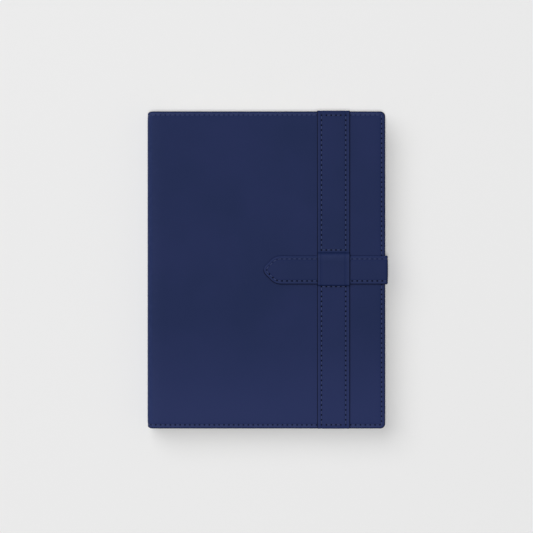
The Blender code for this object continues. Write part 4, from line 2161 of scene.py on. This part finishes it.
    def build(self) -> list[bpy.types.Object]:
        """Make both halves of the strap and their seams."""
        return [self.lower(), self.upper(), *self.seams()]


# ---------------------------------------------------------------- the pages

@dataclass
class PageBlock(Assembly):
    """The sewn signatures and flyleaves, each a stack of separate leaves.

    Attributes:
        leaves: Leaves in one signature.
        fill: How much of a leaf's share of the stack is paper; the rest is air.
        spread: How unevenly the leaves lie, along x and y.
        fold: How far the outer leaves of a fold draw back from the spine.
    """

    signatures: int = 12
    leaves: int = 8
    fill: float = 0.88
    spread: tuple[float, float, float] = (0.09, 0.14, 0.0)
    fold: float = 0.32

    def tree(self) -> bpy.types.NodeTree:
        """Make the tree that stacks leaves on the points of a column.

        Returns:
            The tree, with named inputs.
        """
        tree, given = node_tree(
            "leaf_stack",
            {
                "Geometry": "Geometry",
                "Leaves": "Int",
                "Leaf size": "Vector",
                "Spread": "Vector",
                "Fold": "Float",
                "Seed": "Int",
                "Material": "Material",
            },
        )
        spread = given.outputs["Spread"]
        back = add_node(
            tree, "ShaderNodeVectorMath", {"operation": "SCALE"}, {0: spread, "Scale": -1.0}
        )
        uneven = add_node(
            tree,
            "FunctionNodeRandomValue",
            {"data_type": "FLOAT_VECTOR"},
            {0: back, 1: spread, "Seed": given.outputs["Seed"]},
        )
        column = add_node(
            tree,
            "GeometryNodeSetPosition",
            {},
            {"Geometry": given.outputs["Geometry"], "Offset": uneven},
        )
        size = add_node(tree, SEPARATE, {}, {0: given.outputs["Leaf size"]})
        leaf = add_node(
            tree,
            "GeometryNodeMeshCube",
            {},
            {"Size": given.outputs["Leaf size"], "Vertices X": 3, "Vertices Y": 4, "Vertices Z": 2},
        )
        middle = add_node(tree, MATH, {"operation": "MULTIPLY"}, {0: size.outputs["X"], 1: -0.5})
        hung = add_node(tree, COMBINE, {}, {"X": middle})
        leaf = add_node(tree, "GeometryNodeTransform", {}, {"Geometry": leaf, "Translation": hung})
        scale = self.fold_scale(tree, given, size.outputs["X"])
        stack = add_node(
            tree,
            "GeometryNodeInstanceOnPoints",
            {},
            {"Points": column, "Instance": leaf, "Scale": scale},
        )
        solid = add_node(tree, "GeometryNodeRealizeInstances", {}, {"Geometry": stack})
        paper = {"Geometry": solid, "Material": given.outputs["Material"]}
        dressed = add_node(tree, "GeometryNodeSetMaterial", {}, paper)
        add_node(tree, "NodeGroupOutput", {}, {"Geometry": dressed})
        return tree

    def fold_scale(
        self, tree: bpy.types.NodeTree, given: bpy.types.Node, length: bpy.types.NodeSocket
    ) -> bpy.types.Node:
        """Shorten the outer leaves of a stack, so that their folds look round.

        Args:
            tree: The tree.
            given: The tree's input node.
            length: A leaf's length along x.

        Returns:
            The node whose first output is each leaf's scale.
        """
        index = add_node(tree, "GeometryNodeInputIndex")
        doubled = add_node(tree, MATH, {"operation": "MULTIPLY_ADD"}, {0: index, 1: 2.0, 2: 1.0})
        share = add_node(tree, MATH, {"operation": "DIVIDE"}, {0: doubled, 1: given.outputs["Leaves"]})
        from_middle = add_node(tree, MATH, {"operation": "SUBTRACT"}, {0: share, 1: 1.0})
        squared = add_node(tree, MATH, {"operation": "MULTIPLY"}, {0: from_middle, 1: from_middle})
        drawn = add_node(tree, MATH, {"operation": "MULTIPLY"}, {0: squared, 1: given.outputs["Fold"]})
        lost = add_node(tree, MATH, {"operation": "DIVIDE"}, {0: drawn, 1: length})
        kept = add_node(tree, MATH, {"operation": "SUBTRACT"}, {0: 1.0, 1: lost})
        return add_node(tree, COMBINE, {}, {"X": kept, "Y": 1.0, "Z": 1.0})

    def stack(
        self,
        node: str,
        name: str,
        leaves: int,
        tree: bpy.types.NodeTree,
        finish: bpy.types.Material,
        seed: int,
    ) -> bpy.types.Object:
        """Make one stack of leaves in the space of a CAD node.

        Args:
            node: The CAD node it stands for.
            name: The stack's name.
            leaves: How many leaves it has.
            tree: The tree that stacks them.
            finish: The paper.
            seed: What makes this stack's unevenness its own.

        Returns:
            The stack.
        """
        low, high = millimetres(node)
        pitch = (high[2] - low[2]) / leaves
        heights = low[2] + pitch * (np.arange(leaves) + 0.5)
        middle = (low[1] + high[1]) / 2
        fore_edge = high[0] - self.spread[0]
        column = [(float(fore_edge) * MM, float(middle) * MM, float(z) * MM) for z in heights]
        mesh = bpy.data.meshes.new(f"{name}_column")
        mesh.from_pydata(column, [], [])
        source = bpy.data.objects.new(f"{name}_column", mesh)
        bpy.context.scene.collection.objects.link(source)
        across = (high - low - 2 * np.array(self.spread))[:2]
        size = np.array([*across, pitch * self.fill]) * MM
        piece = grown(
            name,
            source,
            tree,
            {
                "Leaves": leaves,
                "Leaf size": size.tolist(),
                "Spread": [value * MM for value in self.spread],
                "Fold": self.fold * MM,
                "Seed": seed,
                "Material": finish,
            },
        )
        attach(piece, body_of(frame["nodes"][node])[0])
        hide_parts(node)
        return piece

    def build(self) -> list[bpy.types.Object]:
        """Make every signature and both flyleaves.

        Returns:
            Every stack, the flyleaves first.
        """
        tree = self.tree()
        pieces = [
            self.stack("front_flyleaf", "front_flyleaves", 2, tree, self.finishes.blank, 40),
            self.stack("rear_flyleaf", "rear_flyleaves", 2, tree, self.finishes.blank, 41),
        ]
        for number in range(1, self.signatures + 1):
            node = f"signature_{number:02d}"
            name = f"signature_leaves_{number:02d}"
            pieces.append(self.stack(node, name, self.leaves, tree, self.finishes.ledger, number))
        return pieces


# ---------------------------------------------------------------- the studio

@dataclass
class Studio:
    """A pale sweep of paper, one broad soft light high on the left, and a camera overhead.

    Attributes:
        frame_width: What the view shows across, in millimetres, at the cover's face.
        lens: Focal length on a 36 mm sensor.
        raise_view: How far towards the head the view's middle lies.
        aside: How far towards the fore edge it lies.
        face_height: Height of the cover's face, which the view is set on.
        light_distance: How far both lights stand, in metres.
        key_rise: How high the key light stands, in degrees.
        key_width: The key light's diameter, as a share of its distance.
        top_width: The overhead light's diameter, the same way.
        key_power: The key light's power, in watts.
        top_power: The overhead light's power, in watts.
        ambient: Strength of the light from all around.
        floor_half: Half the width of the paper.
        floor_drop: How far the paper lies below the object.
    """

    frame_width: float = 376.1
    lens: float = 150.0
    face_height: float = 22.0
    raise_view: float = 2.45
    aside: float = 0.12
    light_distance: float = 6.0
    key_rise: float = 55.0
    key_width: float = 0.97
    top_width: float = 0.18
    key_power: float = 175.0
    top_power: float = 186.0
    ambient: float = 0.157
    floor_half: float = 6000.0
    floor_drop: float = 0.1

    def floor(self) -> None:
        """Lay the paper under the logbook."""
        turns = np.array([[-1, -1], [1, -1], [1, 1], [-1, 1]])
        corners = np.column_stack([turns * self.floor_half, np.full(4, -self.floor_drop)])
        paper = mesh_object("studio_floor", corners, [(0, 1, 2, 3)], close=False)
        paper.data.materials.append(SeamlessPaper().material())

    def camera(self) -> None:
        """Set the camera straight above the cover, with its top towards the head."""
        data = bpy.data.cameras.new("overhead_camera")
        data.lens = self.lens
        data.sensor_width = 36.0
        data.clip_start = 0.01
        data.clip_end = 60.0
        camera = bpy.data.objects.new("overhead_camera", data)
        distance = self.frame_width * self.lens / data.sensor_width
        camera.location = Vector((self.aside, self.raise_view, self.face_height + distance)) * MM
        bpy.context.scene.collection.objects.link(camera)
        bpy.context.scene.camera = camera

    def light(self, name: str, place: Vector, width: float, power: float) -> None:
        """Add a round soft light that faces the logbook.

        Args:
            name: The light's name.
            place: Where it stands, in metres.
            width: Its diameter, in metres.
            power: Its power, in watts.
        """
        data = bpy.data.lights.new(name, "AREA")
        data.shape = "DISK"
        data.size = width
        data.energy = power
        lamp = bpy.data.objects.new(name, data)
        lamp.location = place
        lamp.rotation_euler = (-place).to_track_quat("-Z", "Y").to_euler()
        bpy.context.scene.collection.objects.link(lamp)

    def build(self) -> None:
        """Set up the floor, camera and lights."""
        self.floor()
        self.camera()
        rise = math.radians(self.key_rise)
        away = self.light_distance
        level = away * math.cos(rise) / math.sqrt(2)
        key_place = Vector((-level, level, away * math.sin(rise)))
        top_place = Vector((0, -0.07, 1)) * away
        self.light("key_softbox", key_place, self.key_width * away, self.key_power)
        self.light("top_softbox", top_place, self.top_width * away, self.top_power)
        world = bpy.data.worlds.new("studio_air")
        world.use_nodes = True
        background = world.node_tree.nodes["Background"]
        background.inputs["Color"].default_value = linear("#F4F4F4")
        background.inputs["Strength"].default_value = self.ambient
        scene = bpy.context.scene
        scene.world = world
        scene.view_settings.view_transform = "Standard"
        scene.view_settings.look = "None"


def main() -> None:
    """Build every piece of the logbook in order, and the studio round it."""
    logging.basicConfig(level=logging.INFO, format="%(name)s: %(message)s")
    trees = SeamTrees()
    finishes = Finishes()
    parts = [kind(trees, finishes) for kind in (Cover, KeeperBand, ClosureStrap, PageBlock)]
    for part in parts:
        for piece in part.build():
            LOG.info("%s: %s, %d faces", type(part).__name__, piece.name, len(piece.data.polygons))
    Studio().build()


if __name__ == "__main__":
    main()
